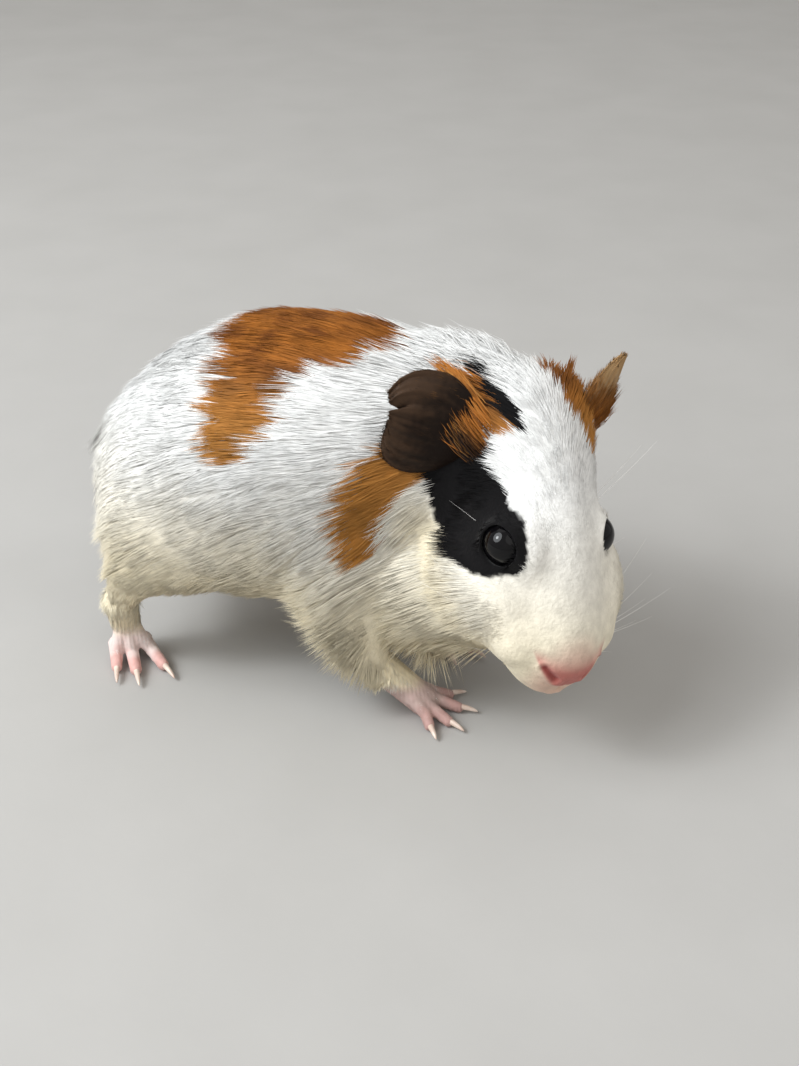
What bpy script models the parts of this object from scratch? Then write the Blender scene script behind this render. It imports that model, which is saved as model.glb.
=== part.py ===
"""A guinea pig pup about two weeks old, standing still with its head lowered and turned to its right.

X runs forward from the rump to the head, Y to the animal's left and Z up from the floor.
The named sizes are in millimetres, and MM brings every shape to metres.
"""

import math

import bmesh
import bpy
from mathutils import Matrix, Vector
from mathutils.bvhtree import BVHTree

MM = 0.001
GAP = 0.3
RIGHT = -1
LEFT = 1
SIDE_NAMES = {RIGHT: "right", LEFT: "left"}

# Trunk: x, y and z of each section's centre, then its half width and half height.
TRUNK_SECTIONS = (
    (-56.3, 2.0, 36.0, 7.0, 9.0),
    (-52.6, 2.0, 36.5, 15.0, 17.2),
    (-44.5, 1.5, 38.5, 22.2, 23.6),
    (-33.0, 1.0, 41.6, 26.3, 29.2),
    (-19.0, 0.5, 44.6, 27.5, 32.2),
    (-4.0, 0.0, 44.9, 26.0, 32.7),
    (9.0, 1.0, 45.2, 23.0, 31.2),
    (20.0, 2.5, 47.4, 19.5, 28.0),
    (30.0, 2.5, 51.4, 17.0, 23.6),
    (37.0, 1.0, 53.0, 13.0, 18.0),
    (41.0, 0.0, 53.0, 7.0, 10.0),
)

# The head's own axes meet midway between the eyes: forward, left and up. Yaw turns the head to
# the right, pitch lowers the nose and roll drops its left side.
EYE_MIDPOINT = Vector((41.6, -12.6, 45.1))
HEAD_YAW = math.radians(-48.4)
HEAD_PITCH = math.radians(32.8)
HEAD_ROLL = math.radians(-11.0)

# Head sections: distance ahead of the eyes, height of the centre, half width, half height, and by
# how much the section is narrower at the top than at the bottom.
HEAD_SECTIONS = (
    (23.4, -12.2, 3.4, 3.2, 0.0),
    (22.2, -12.2, 6.2, 6.4, 0.0),
    (18.0, -11.2, 9.8, 9.4, 0.05),
    (12.0, -9.4, 12.0, 11.6, 0.15),
    (6.0, -7.0, 12.2, 13.4, 0.24),
    (0.0, -5.0, 12.6, 14.4, 0.26),
    (-8.0, -2.8, 15.2, 17.2, 0.18),
    (-17.0, -1.6, 16.4, 19.0, 0.08),
    (-26.0, -1.0, 16.6, 19.6, 0.0),
    (-32.5, -1.6, 12.5, 14.0, 0.0),
)

# Swellings of the head, centre and radii, on its middle or outward on each side.
CHEEK = ((1.0, 9.0, -9.5), (15.0, 9.3, 9.5))
WHISKER_PAD = ((11.5, 7.6, -10.0), (8.0, 6.4, 6.2))
BROW = {RIGHT: ((-1.0, 7.4, -0.5), (10.0, 4.4, 7.6)), LEFT: ((-1.0, 6.0, -1.0), (9.0, 2.8, 6.0))}
CHIN = ((16.5, 0.0, -16.6), (6.5, 5.4, 4.0))
THROAT = ((22.0, -9.0, 30.0), (16.0, 13.0, 16.0))

# Eyes, in the head's axes, measured outward from the head's middle. The left lids open more
# upward and forward than the right ones.
EYE_RADIUS = 4.3
EYE_CENTRE = {RIGHT: (0.2, 10.0, 1.0), LEFT: (0.2, 8.2, 0.4)}
EYE_OUTWARD = {RIGHT: (0.30, 0.90, 0.32), LEFT: (0.42, 0.70, 0.57)}
LID_THICKNESS = 0.7
LID_OPENING = (4.6, 4.1, 4.5)
LID_OPENING_STEP = 5.6

# Ears, in the head's axes, measured outward from the head's middle. The right ear stands out,
# the left one lies back.
EAR_ROOT = {RIGHT: (-20.6, 16.0, 5.4), LEFT: (-21.0, 15.0, 3.0)}
EAR_ALONG = {RIGHT: (-0.50, 0.05, 0.86), LEFT: (0.00, -0.50, 0.85)}
EAR_OUTWARD = {RIGHT: (-0.33, 0.93, 0.11), LEFT: (-0.55, 0.35, 0.75)}
EAR_HALF_WIDTH = 10.2
EAR_REACH = {RIGHT: 12.6, LEFT: 15.2}
EAR_SINK = 8.0
EAR_THICKNESS = 1.0
EAR_CUP = 2.6
EAR_NOTCH = {RIGHT: 0.17, LEFT: 0.0}
EAR_NOTCH_PLACE = 0.36
EAR_SLANT = {RIGHT: 0.12, LEFT: 0.0}
EAR_NOTCH_WIDTH = 0.14
EAR_TAPER = {RIGHT: (3.6, 0.45), LEFT: (1.8, 0.75)}
EAR_ROOT_WIDTH = 0.45
EAR_NARROWEST = -0.35
EAR_LAST_ROW = 0.97
EAR_GRID = (16, 8)
EAR_WIDEST = 0.45

# Nose, mouth and lips, in the head's axes. The mouth's line is seen from a point inside the
# muzzle, and runs from its front on the middle to a corner on each side.
NOSTRIL_CENTRE = (22.3, 3.3, -9.8)
NOSTRIL_RADII = (1.9, 1.7, 0.75)
NOSTRIL_TILT = math.radians(-35.0)
MOUTH_INSIDE = (12.0, 0.0, -11.0)
MOUTH_FRONT = (22.0, -16.4)
MOUTH_CORNER = (13.0, 7.0, -18.4)
LIP_RADIUS = 1.15
LIP_SPACING = 0.95
LIP_SINK = 0.72
GROOVE_RADIUS = 0.42
CLEFT_TOP = (23.0, 0.0, -11.6)

# Legs: shoulder or haunch swelling, then the limb's path with its radii, down to the cuff where
# the fur ends, and the ellipsoid that parts the leg from the trunk.
HIND_LEG = {
    RIGHT: {
        "swelling": ((-34.5, -14.5, 33.0), (15.0, 10.5, 17.0)),
        "limb": ((-38.0, -18.0, 27.0, 9.0), (-45.0, -18.6, 18.0, 6.2), (-47.2, -16.6, 9.0, 3.9)),
        "cuff": (-46.4, -17.3, 12.2),
        "region": ((-37.0, -25.0, 21.0), (18.5, 15.0, 25.0)),
    },
    LEFT: {
        "swelling": ((-30.5, 16.5, 33.0), (15.0, 10.5, 17.0)),
        "limb": ((-32.0, 20.0, 27.0, 9.0), (-35.0, 21.0, 18.0, 6.2), (-34.5, 21.0, 9.0, 3.9)),
        "cuff": (-34.6, 21.0, 12.5),
        "region": ((-32.0, 27.0, 21.0), (18.5, 15.0, 25.0)),
    },
}
FORE_LEG = {
    RIGHT: {
        "swelling": ((3.5, -15.5, 30.5), (12.5, 8.5, 17.0)),
        "limb": ((4.0, -17.0, 28.0, 8.6), (6.0, -17.5, 17.0, 6.8), (12.2, -14.6, 6.0, 4.3)),
        "cuff": (10.8, -15.0, 8.6),
        "region": ((5.0, -24.0, 18.0), (13.5, 15.0, 23.0)),
    },
    LEFT: {
        "swelling": ((7.0, 16.5, 32.0), (11.0, 8.5, 16.0)),
        "limb": ((3.0, 16.0, 28.0, 8.6), (4.5, 16.0, 17.0, 6.8), (8.6, 14.0, 6.0, 4.3)),
        "cuff": (7.6, 14.5, 8.6),
        "region": ((6.0, 22.0, 18.0), (14.5, 16.0, 23.0)),
    },
}

# Feet: where the palm or instep starts, where the toes spring from, the heading and the toes,
# each with its own turn, length and sideways place.
HIND_FOOT = {
    RIGHT: {"ankle": (-46.4, -17.6, 15.0), "root": (-47.2, -14.6, 3.4), "heading": -52.0},
    LEFT: {"ankle": (-34.6, 21.0, 15.0), "root": (-31.5, 21.4, 3.4), "heading": 16.0},
}
FORE_FOOT = {
    RIGHT: {"ankle": (9.6, -15.4, 11.0), "root": (17.6, -12.8, 2.8), "heading": -1.0},
    LEFT: {"ankle": (6.7, 14.9, 11.0), "root": (14.2, 12.2, 2.8), "heading": -8.0},
}
HIND_TOES = ((-17.0, 9.0, -3.0), (2.0, 8.8, 0.0), (9.0, 6.4, 3.0))
FORE_TOES = ((-46.0, 4.6, -2.6), (-10.0, 6.6, -1.1), (18.0, 6.4, 1.1), (50.0, 4.4, 2.6))
HIND_TOE_RADIUS = 1.75
FORE_TOE_RADIUS = 1.55
CLAW_LENGTH = {"hind": 4.2, "fore": 3.2}
CLAW_RADIUS = 0.62
INSTEP_RADII = {"hind": (3.7, 3.2, 3.9), "fore": (3.8, 3.5, 4.4)}
SOLE_DEPTH = 0.5

# The oval, in the head's axes, that parts the head from the neck, and the plane that parts the
# neck from the torso, with how far its facing leans from the trunk's heading to the head's.
HEAD_REGION = ((-1.0, 0.0, -2.0), (30.0, 27.0, 27.0))
NECK_CUT = (4.0, 0.0, 47.0)
NECK_CUT_LEAN = 0.3

# Flesh resolution before it is parted, and how many triangles it keeps.
VOXEL = 1.2
SMOOTH_STEPS = 6
BODY_TRIANGLES = 4400
HEAD_TRIANGLES = 9000
RING_SIDES = 12


def head_axes():
    """The head's forward, left and up directions in the trunk's frame."""
    forward = Vector((math.cos(HEAD_PITCH) * math.cos(HEAD_YAW),
                      math.cos(HEAD_PITCH) * math.sin(HEAD_YAW),
                      -math.sin(HEAD_PITCH)))
    level_left = Vector((-math.sin(HEAD_YAW), math.cos(HEAD_YAW), 0.0))
    level_up = forward.cross(level_left)
    left = math.cos(HEAD_ROLL) * level_left + math.sin(HEAD_ROLL) * level_up
    return forward, left, forward.cross(left)


FORWARD, LEFTWARD, UPWARD = head_axes()
HEAD_TURN = Matrix((FORWARD, LEFTWARD, UPWARD)).transposed()


def in_head(point, side=LEFT):
    """A point in the head's axes, mirrored for the right side, as a place in millimetres."""
    ahead, across, up = point
    return EYE_MIDPOINT + HEAD_TURN @ Vector((ahead, across * side, up))


def head_direction(vector, side=LEFT):
    ahead, across, up = vector
    return (HEAD_TURN @ Vector((ahead, across * side, up))).normalized()


def clear_scene():
    for thing in list(bpy.data.objects):
        bpy.data.objects.remove(thing, do_unlink=True)


def new_collection(name, hidden=False):
    collection = bpy.data.collections.new(name)
    collection.hide_render = hidden
    bpy.context.scene.collection.children.link(collection)
    return collection


def new_object(name, bm, collection):
    """A mesh object from a bmesh that was made in millimetres."""
    bmesh.ops.scale(bm, vec=Vector((MM, MM, MM)), verts=bm.verts)
    mesh = bpy.data.meshes.new(name)
    bm.to_mesh(mesh)
    bm.free()
    thing = bpy.data.objects.new(name, mesh)
    if collection.hide_render:
        thing.display_type = "WIRE"
    collection.objects.link(thing)
    return thing


def applied(thing):
    """Applies a shape's modifiers."""
    graph = bpy.context.evaluated_depsgraph_get()
    graph.update()
    mesh = bpy.data.meshes.new_from_object(thing.evaluated_get(graph))
    old = thing.data
    thing.modifiers.clear()
    thing.data = mesh
    bpy.data.meshes.remove(old)
    return thing


def remove(thing):
    mesh = thing.data
    bpy.data.objects.remove(thing, do_unlink=True)
    bpy.data.meshes.remove(mesh)


def ring_mesh(bm, rings):
    """Joins rings of points, each with the same count, into a closed loft with flat ends."""
    loops = [[bm.verts.new(point) for point in ring] for ring in rings]
    count = len(loops[0])
    for near, far in zip(loops, loops[1:]):
        for i in range(count):
            j = (i + 1) % count
            bm.faces.new((near[i], near[j], far[j], far[i]))
    bm.faces.new(reversed(loops[0]))
    bm.faces.new(loops[-1])
    bmesh.ops.recalc_face_normals(bm, faces=bm.faces)


def ellipse_ring(centre, across, up, sides=RING_SIDES, pear=0.0):
    """Points round an oval; pear makes it that much narrower at the top and wider at the bottom."""
    ring = []
    for i in range(sides):
        angle = 2 * math.pi * i / sides
        narrowing = 1.0 - pear * math.sin(angle)
        ring.append(centre + across * math.cos(angle) * narrowing + up * math.sin(angle))
    return ring


def smooth_loft(name, rings, collection, levels=2):
    bm = bmesh.new()
    ring_mesh(bm, rings)
    thing = new_object(name, bm, collection)
    subdivision = thing.modifiers.new("Round", "SUBSURF")
    subdivision.levels = levels
    subdivision.render_levels = levels
    return applied(thing)


def trunk(collection):
    """The trunk from rump to shoulders, as a loft of upright oval sections."""
    rings = []
    for x, y, z, half_width, half_height in TRUNK_SECTIONS:
        rings.append(ellipse_ring(Vector((x, y, z)), Vector((0, half_width, 0)), Vector((0, 0, half_height))))
    return smooth_loft("trunk_form", rings, collection)


def skull(collection):
    """The head from nose to nape, as a loft of oval sections along its own axis."""
    rings = []
    for ahead, height, half_width, half_height, pear in HEAD_SECTIONS:
        centre = in_head((ahead, 0.0, height))
        rings.append(ellipse_ring(centre, LEFTWARD * half_width, UPWARD * half_height, pear=pear))
    return smooth_loft("skull_form", rings, collection)


def ellipsoid(name, centre, radii, collection, turn=None, segments=24):
    """An oval ball, in millimetres, turned by a 3x3 matrix if one is given."""
    bm = bmesh.new()
    bmesh.ops.create_uvsphere(bm, u_segments=segments, v_segments=segments // 2, radius=1.0)
    for vert in bm.verts:
        vert.co = Vector((vert.co.x * radii[0], vert.co.y * radii[1], vert.co.z * radii[2]))
    place = Matrix.Translation(Vector(centre)) @ (turn.to_4x4() if turn else Matrix())
    bmesh.ops.transform(bm, matrix=place, verts=bm.verts)
    return new_object(name, bm, collection)


def tube(name, path, collection, sides=RING_SIDES):
    """A round limb along a path of x, y, z and radius, with a rounded far end."""
    points = [Vector(step[:3]) for step in path]
    radii = [step[3] for step in path]
    rings = []
    across = None
    for i, point in enumerate(points):
        before = points[max(i - 1, 0)]
        after = points[min(i + 1, len(points) - 1)]
        along = (after - before).normalized()
        if across is None:
            guide = Vector((0, 0, 1)) if abs(along.z) < 0.9 else Vector((0, 1, 0))
            across = guide.cross(along).normalized()
        across = (across - along * across.dot(along)).normalized()
        rings.append(ellipse_ring(point, across * radii[i], along.cross(across) * radii[i], sides))
    bm = bmesh.new()
    ring_mesh(bm, rings)
    return new_object(name, bm, collection)


def rounded_path(path, cap=0.6):
    """The same path with one small ring more at each end, so that the tube ends are round."""
    first, second = Vector(path[0][:3]), Vector(path[1][:3])
    last, before = Vector(path[-1][:3]), Vector(path[-2][:3])
    start = first + (first - second).normalized() * path[0][3] * cap
    end = last + (last - before).normalized() * path[-1][3] * cap
    return ((*start, path[0][3] * cap), *path, (*end, path[-1][3] * cap))


def joined(name, pieces, collection):
    """One object that holds the meshes of several, as loose shells."""
    bm = bmesh.new()
    for piece in pieces:
        bm.from_mesh(piece.data)
        remove(piece)
    mesh = bpy.data.meshes.new(name)
    bm.to_mesh(mesh)
    bm.free()
    thing = bpy.data.objects.new(name, mesh)
    collection.objects.link(thing)
    return thing


def decimated_copy(source, name, triangles, collection):
    thing = bpy.data.objects.new(name, source.data.copy())
    collection.objects.link(thing)
    thing.data.calc_loop_triangles()
    decimate = thing.modifiers.new("Thin out", "DECIMATE")
    decimate.ratio = min(1.0, triangles / len(thing.data.loop_triangles))
    return applied(thing)


def boolean(thing, other, operation, solver="EXACT"):
    modifier = thing.modifiers.new(operation.title(), "BOOLEAN")
    modifier.operation = operation
    modifier.object = other
    modifier.solver = solver
    applied(thing)


def keep_largest(thing):
    """Keeps only the largest closed surface of a shape."""
    bm = bmesh.new()
    bm.from_mesh(thing.data)
    waiting = set(bm.verts)
    shells = []
    while waiting:
        shell = set()
        front = [waiting.pop()]
        while front:
            vert = front.pop()
            shell.add(vert)
            for edge in vert.link_edges:
                other = edge.other_vert(vert)
                if other in waiting:
                    waiting.discard(other)
                    front.append(other)
        shells.append(shell)
    shells.sort(key=lambda shell: sum(face.calc_area() for face in {f for v in shell for f in v.link_faces}))
    for shell in shells[:-1]:
        bmesh.ops.delete(bm, geom=list(shell), context="VERTS")
    bmesh.ops.triangulate(bm, faces=bm.faces)
    bm.to_mesh(thing.data)
    bm.free()


def half_space(name, point, facing, collection, size=260.0):
    """A large block whose one face passes through a point and which fills the side it faces."""
    facing = facing.normalized()
    bm = bmesh.new()
    bmesh.ops.create_cube(bm, size=size)
    turn = facing.to_track_quat("Z", "Y").to_matrix().to_4x4()
    place = Matrix.Translation(Vector(point) + facing * size / 2) @ turn
    bmesh.ops.transform(bm, matrix=place, verts=bm.verts)
    return new_object(name, bm, collection)


def cut_away(thing, point, facing, cutters):
    """Removes what lies on the side of a plane that the facing points to."""
    block = half_space(thing.name + "_cut", point, facing, cutters)
    boolean(thing, block, "DIFFERENCE")
    remove(block)


def region(name, leg, extra, cutters):
    centre, radii = leg["region"]
    return ellipsoid(name, centre, [r + extra for r in radii], cutters, segments=22)


def cuff_plane(leg):
    """The point and the downward facing of the cut between a leg and its foot."""
    upper, lower = Vector(leg["limb"][-2][:3]), Vector(leg["limb"][-1][:3])
    return Vector(leg["cuff"]), (lower - upper).normalized()


def flesh(cutters):
    """The whole body but for feet, ears and eyes, blended into one smooth surface."""
    pieces = [trunk(cutters), skull(cutters)]
    for side in (RIGHT, LEFT):
        pieces.append(ellipsoid("cheek", in_head(CHEEK[0], side), CHEEK[1], cutters, HEAD_TURN))
        pieces.append(ellipsoid("brow", in_head(BROW[side][0], side), BROW[side][1], cutters, HEAD_TURN))
        pieces.append(ellipsoid("pad", in_head(WHISKER_PAD[0], side), WHISKER_PAD[1], cutters, HEAD_TURN))
        for leg in (HIND_LEG[side], FORE_LEG[side]):
            pieces.append(ellipsoid("swelling", *leg["swelling"], cutters))
            pieces.append(tube("limb", rounded_path(leg["limb"]), cutters))
    pieces.append(ellipsoid("chin", in_head(CHIN[0]), CHIN[1], cutters, HEAD_TURN))
    pieces.append(ellipsoid("throat", *THROAT, cutters))
    body = joined("flesh", pieces, cutters)
    remesh = body.modifiers.new("Blend", "REMESH")
    remesh.mode = "VOXEL"
    remesh.voxel_size = VOXEL * MM
    smooth = body.modifiers.new("Smooth", "SMOOTH")
    smooth.factor = 0.5
    smooth.iterations = SMOOTH_STEPS
    return applied(body)


def head_region(extra, cutters):
    centre, radii = HEAD_REGION
    return ellipsoid("head_region", in_head(centre), [r + extra for r in radii], cutters, HEAD_TURN, 26)


def neck_cut_plane():
    trunk_heading = Vector((1, 0, 0))
    facing = trunk_heading.lerp(FORWARD, NECK_CUT_LEAN).normalized()
    return Vector(NECK_CUT), facing


def copy_of(source, name, collection):
    thing = bpy.data.objects.new(name, source.data.copy())
    collection.objects.link(thing)
    return thing


def make_trunk_nodes(body, parts, cutters):
    """Parts the flesh into torso, neck and four legs by thin cuts."""
    neck_point, neck_facing = neck_cut_plane()
    half = GAP / 2

    neck = copy_of(body, "neck", parts)
    head_clear = head_region(half, cutters)
    boolean(neck, head_clear, "DIFFERENCE")
    cut_away(neck, neck_point + neck_facing * half, -neck_facing, cutters)
    torso = copy_of(body, "torso", parts)
    cut_away(torso, neck_point - neck_facing * half, neck_facing, cutters)
    legs = []
    for kind, table in (("hindleg", HIND_LEG), ("foreleg", FORE_LEG)):
        for side in (RIGHT, LEFT):
            leg = table[side]
            limb = copy_of(body, f"{kind}_{SIDE_NAMES[side]}", parts)
            keep = region("keep", leg, -half, cutters)
            boolean(limb, keep, "INTERSECT")
            remove(keep)
            boolean(limb, head_clear, "DIFFERENCE")
            point, down = cuff_plane(leg)
            cut_away(limb, point, down, cutters)
            clear = region("clear", leg, half, cutters)
            boolean(torso, clear, "DIFFERENCE")
            boolean(neck, clear, "DIFFERENCE")
            remove(clear)
            legs.append(limb)
    remove(head_clear)
    for thing in (neck, torso, *legs):
        keep_largest(thing)
    return [torso, neck, *legs]


def toe(name, root, heading, length, radius, claw, collection):
    """One toe and its claw, flat beneath, as two closed shells."""
    ahead = Vector((math.cos(heading), math.sin(heading), 0.0))
    start = Vector(root)
    reach = [0.0, 0.35, 0.75, 1.0]
    heights = [start.z, 2.6, radius * 0.86, radius * 0.84]
    widths = [radius, radius * 1.02, radius * 0.98, radius * 0.66]
    path = []
    for part, height, width in zip(reach, heights, widths):
        place = start + ahead * length * part
        path.append((place.x, place.y, height, width))
    pieces = [tube(name, rounded_path(path, 0.5), collection, 7)]
    tip = start + ahead * (length - 0.6)
    claw_path = []
    for part, drop, width in ((0.0, 0.0, 1.0), (0.45, 0.1, 0.85), (0.8, 0.45, 0.5), (1.0, 0.85, 0.14)):
        place = tip + ahead * (claw + 0.6) * part
        claw_path.append((place.x, place.y, radius * 0.95 - drop, CLAW_RADIUS * width))
    pieces.append(tube(name + "_claw", claw_path, collection, 6))
    return pieces


def foot(kind, side, place, leg, toes, parts, cutters):
    """A bare foot: instep, toes and claws in one closed body, cut flat beneath."""
    radius = HIND_TOE_RADIUS if kind == "hind" else FORE_TOE_RADIUS
    claw = CLAW_LENGTH[kind]
    heading = math.radians(place["heading"])
    across = Vector((-math.sin(heading), math.cos(heading), 0.0))
    ahead = Vector((math.cos(heading), math.sin(heading), 0.0))
    ankle, root = Vector(place["ankle"]), Vector(place["root"])
    middle = ankle.lerp(root, 0.55)
    top, waist, bottom = INSTEP_RADII[kind]
    name = f"{kind}foot_{SIDE_NAMES[side]}"
    path = ((*ankle, top), (*middle, waist), (*root, bottom * 0.8))
    foot_body = tube(name, rounded_path(path, 0.5), parts, 10)
    pad = ellipsoid("pad", root + ahead * 0.4, (bottom * 1.05, bottom * 1.1, root.z + SOLE_DEPTH), cutters,
                    Matrix.Rotation(heading, 3, "Z"), 10)
    pieces = [pad]
    for turn, length, shift in toes:
        mirrored = shift * side
        start = root + across * mirrored + ahead * 1.0
        pieces += toe("toe", start, heading + math.radians(turn) * side, length, radius, claw, cutters)
    for piece in pieces:
        boolean(foot_body, piece, "UNION")
        remove(piece)
    cut_away(foot_body, Vector((0, 0, 0)), Vector((0, 0, -1)), cutters)
    point, down = cuff_plane(leg)
    cut_away(foot_body, point + down * GAP, -down, cutters)
    keep_largest(foot_body)
    return foot_body


def on_surface(surface, target):
    """Where a line from inside the muzzle towards a target leaves the head, and its direction."""
    inside = in_head(MOUTH_INSIDE)
    direction = (target - inside).normalized()
    hit = surface.ray_cast((inside + direction * 40.0) * MM, -direction)[0]
    return hit / MM, direction


def mouth_line(surface, level, steps=12):
    """Points along the mouth from one corner to the other, moved up or down by a level."""
    corner_ahead, corner_across, corner_up = MOUTH_CORNER
    front_ahead, front_up = MOUTH_FRONT
    line = []
    for i in range(steps + 1):
        across = 2.0 * i / steps - 1.0
        bend = across * across
        line.append(on_surface(surface, in_head((
            front_ahead + (corner_ahead - front_ahead) * bend,
            corner_across * across,
            front_up + (corner_up - front_up) * bend + level))))
    return line


def add_mouth(head, surface, cutters):
    """Soft lips, the line between them and the cleft from the nose to the upper lip."""
    for level in (LIP_SPACING, -LIP_SPACING):
        line = mouth_line(surface, level)
        path = [(*(place - direction * LIP_RADIUS * LIP_SINK), LIP_RADIUS) for place, direction in line]
        lip = tube("lip", rounded_path(path, 0.5), cutters, 8)
        boolean(head, lip, "UNION")
        remove(lip)
    line = mouth_line(surface, 0.0)
    grooves = [[(*(place + direction * 0.1), GROOVE_RADIUS) for place, direction in line]]
    cleft_top, cleft_bottom = in_head(CLEFT_TOP), line[len(line) // 2][0]
    cleft = []
    for i in range(4):
        place, direction = on_surface(surface, cleft_top.lerp(cleft_bottom, i / 3))
        cleft.append((*(place + direction * 0.1), GROOVE_RADIUS * 0.8))
    grooves.append(cleft)
    for path in grooves:
        groove = tube("groove", path, cutters, 6)
        boolean(head, groove, "DIFFERENCE")
        remove(groove)


def add_nostrils(head, cutters):
    """Two slanting oval openings on the front of the nose."""
    for side in (RIGHT, LEFT):
        turn = HEAD_TURN @ Matrix.Rotation(NOSTRIL_TILT * side, 3, "X")
        nostril = ellipsoid("nostril", in_head(NOSTRIL_CENTRE, side), NOSTRIL_RADII, cutters, turn, 12)
        boolean(head, nostril, "DIFFERENCE")
        remove(nostril)


def add_lids(head, cutters):
    """Lids that hug both eyeballs, each with an oval opening, and sockets that leave the eyes free."""
    for side in (RIGHT, LEFT):
        centre = in_head(EYE_CENTRE[side], side)
        outward = head_direction(EYE_OUTWARD[side], side)
        along = (FORWARD - outward * FORWARD.dot(outward)).normalized()
        turn = Matrix((along, outward.cross(along), outward)).transposed()
        lid_radius = EYE_RADIUS + GAP + LID_THICKNESS
        lids = ellipsoid("lids", centre, [lid_radius] * 3, cutters, turn, 20)
        opening = ellipsoid("opening", centre + outward * LID_OPENING_STEP, LID_OPENING, cutters, turn, 20)
        socket = ellipsoid("socket", centre, [EYE_RADIUS + GAP] * 3, cutters, turn, 18)
        for piece, operation in ((lids, "UNION"), (opening, "DIFFERENCE"), (socket, "DIFFERENCE")):
            boolean(head, piece, operation)
            remove(piece)


def make_head(body, parts, cutters):
    """The head ahead of the neck, with lids, nostrils, lips and the line of the mouth."""
    head = copy_of(body, "head", parts)
    keep = head_region(-GAP / 2, cutters)
    boolean(head, keep, "INTERSECT")
    remove(keep)
    keep_largest(head)
    bm = bmesh.new()
    bm.from_mesh(head.data)
    surface = BVHTree.FromBMesh(bm)
    bm.free()
    add_mouth(head, surface, cutters)
    add_nostrils(head, cutters)
    add_lids(head, cutters)
    keep_largest(head)
    return head


def make_ear(side, body, parts, cutters):
    """A thin cupped flap, rooted in the side of the head with a small gap to it."""
    columns, rows = EAR_GRID
    farthest = EAR_REACH[side]
    taper, roundness = EAR_TAPER[side]
    along = head_direction(EAR_ALONG[side], side)
    outward = head_direction(EAR_OUTWARD[side], side)
    along = (along - outward * along.dot(outward)).normalized()
    hollow = along.cross(outward) * side
    root = in_head(EAR_ROOT[side], side)
    bm = bmesh.new()
    grid = []
    for j in range(rows + 1):
        reach = -EAR_SINK / farthest + (EAR_LAST_ROW + EAR_SINK / farthest) * j / rows
        beyond = max(0.0, reach)
        opened = (reach - EAR_NARROWEST) / (EAR_WIDEST - EAR_NARROWEST)
        opened = math.sin(min(1.0, max(0.0, opened)) * math.pi / 2)
        swell = EAR_ROOT_WIDTH + (1.0 - EAR_ROOT_WIDTH) * opened
        width = (1.0 - beyond ** taper) ** roundness * swell
        row = []
        for i in range(columns + 1):
            across = 2.0 * i / columns - 1.0
            notch = EAR_NOTCH[side] * math.exp(-((across - EAR_NOTCH_PLACE) / EAR_NOTCH_WIDTH) ** 2)
            place = root + along * across * width * EAR_HALF_WIDTH
            slant = EAR_SLANT[side] * across
            place += outward * reach * (1.0 + (slant - notch) * beyond ** 3) * farthest
            place += hollow * EAR_CUP * (across * across * (0.35 + 0.65 * beyond) - 0.35)
            row.append(bm.verts.new(place))
        grid.append(row)
    for low, high in zip(grid, grid[1:]):
        for i in range(columns):
            bm.faces.new((low[i], low[i + 1], high[i + 1], high[i]))
    ear = new_object(f"ear_{SIDE_NAMES[side]}", bm, parts)
    solidify = ear.modifiers.new("Thickness", "SOLIDIFY")
    solidify.thickness = EAR_THICKNESS * MM
    solidify.offset = 0.0
    solidify.use_even_offset = True
    applied(ear)
    bm = bmesh.new()
    bm.from_mesh(ear.data)
    bmesh.ops.triangulate(bm, faces=bm.faces)
    bmesh.ops.recalc_face_normals(bm, faces=bm.faces)
    bm.to_mesh(ear.data)
    bm.free()
    grown = copy_of(body, "grown", cutters)
    displace = grown.modifiers.new("Grow", "DISPLACE")
    displace.strength = GAP * MM
    displace.mid_level = 0.0
    applied(grown)
    boolean(ear, grown, "DIFFERENCE")
    remove(grown)
    keep_largest(ear)
    return ear


def make_eye(side, parts):
    return ellipsoid(f"eye_{SIDE_NAMES[side]}", in_head(EYE_CENTRE[side], side), [EYE_RADIUS] * 3, parts,
                     segments=14)


def material(name, colour, roughness, metallic=0.0):
    made = bpy.data.materials.new(name)
    made.use_nodes = True
    shader = made.node_tree.nodes["Principled BSDF"]
    shader.inputs["Base Color"].default_value = (*colour, 1.0)
    shader.inputs["Roughness"].default_value = roughness
    shader.inputs["Metallic"].default_value = metallic
    return made


WHITE_COAT = (0.78, 0.74, 0.66)
CREAM_COAT = (0.74, 0.66, 0.52)
BARE_SKIN = (0.62, 0.34, 0.30)
DARK_EAR = (0.07, 0.04, 0.025)
GINGER_EAR = (0.42, 0.18, 0.05)
EYE_BLACK = (0.008, 0.008, 0.010)
FINISHES = {
    "torso": (WHITE_COAT, 0.8),
    "neck": (WHITE_COAT, 0.8),
    "head": (WHITE_COAT, 0.75),
    "hindleg": (CREAM_COAT, 0.8),
    "foreleg": (CREAM_COAT, 0.8),
    "hindfoot": (BARE_SKIN, 0.5),
    "forefoot": (BARE_SKIN, 0.5),
    "ear_right": (DARK_EAR, 0.6),
    "ear_left": (GINGER_EAR, 0.7),
    "eye": (EYE_BLACK, 0.05),
}


def finish(thing):
    """Gives a node its own material and smooth shading."""
    key = thing.name if thing.name in FINISHES else thing.name.split("_")[0]
    colour, roughness = FINISHES[key]
    thing.data.materials.clear()
    thing.data.materials.append(material(thing.name + "_finish", colour, roughness))
    thing.data.shade_smooth()
    thing.data.set_sharp_from_angle(angle=math.radians(45))


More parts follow.
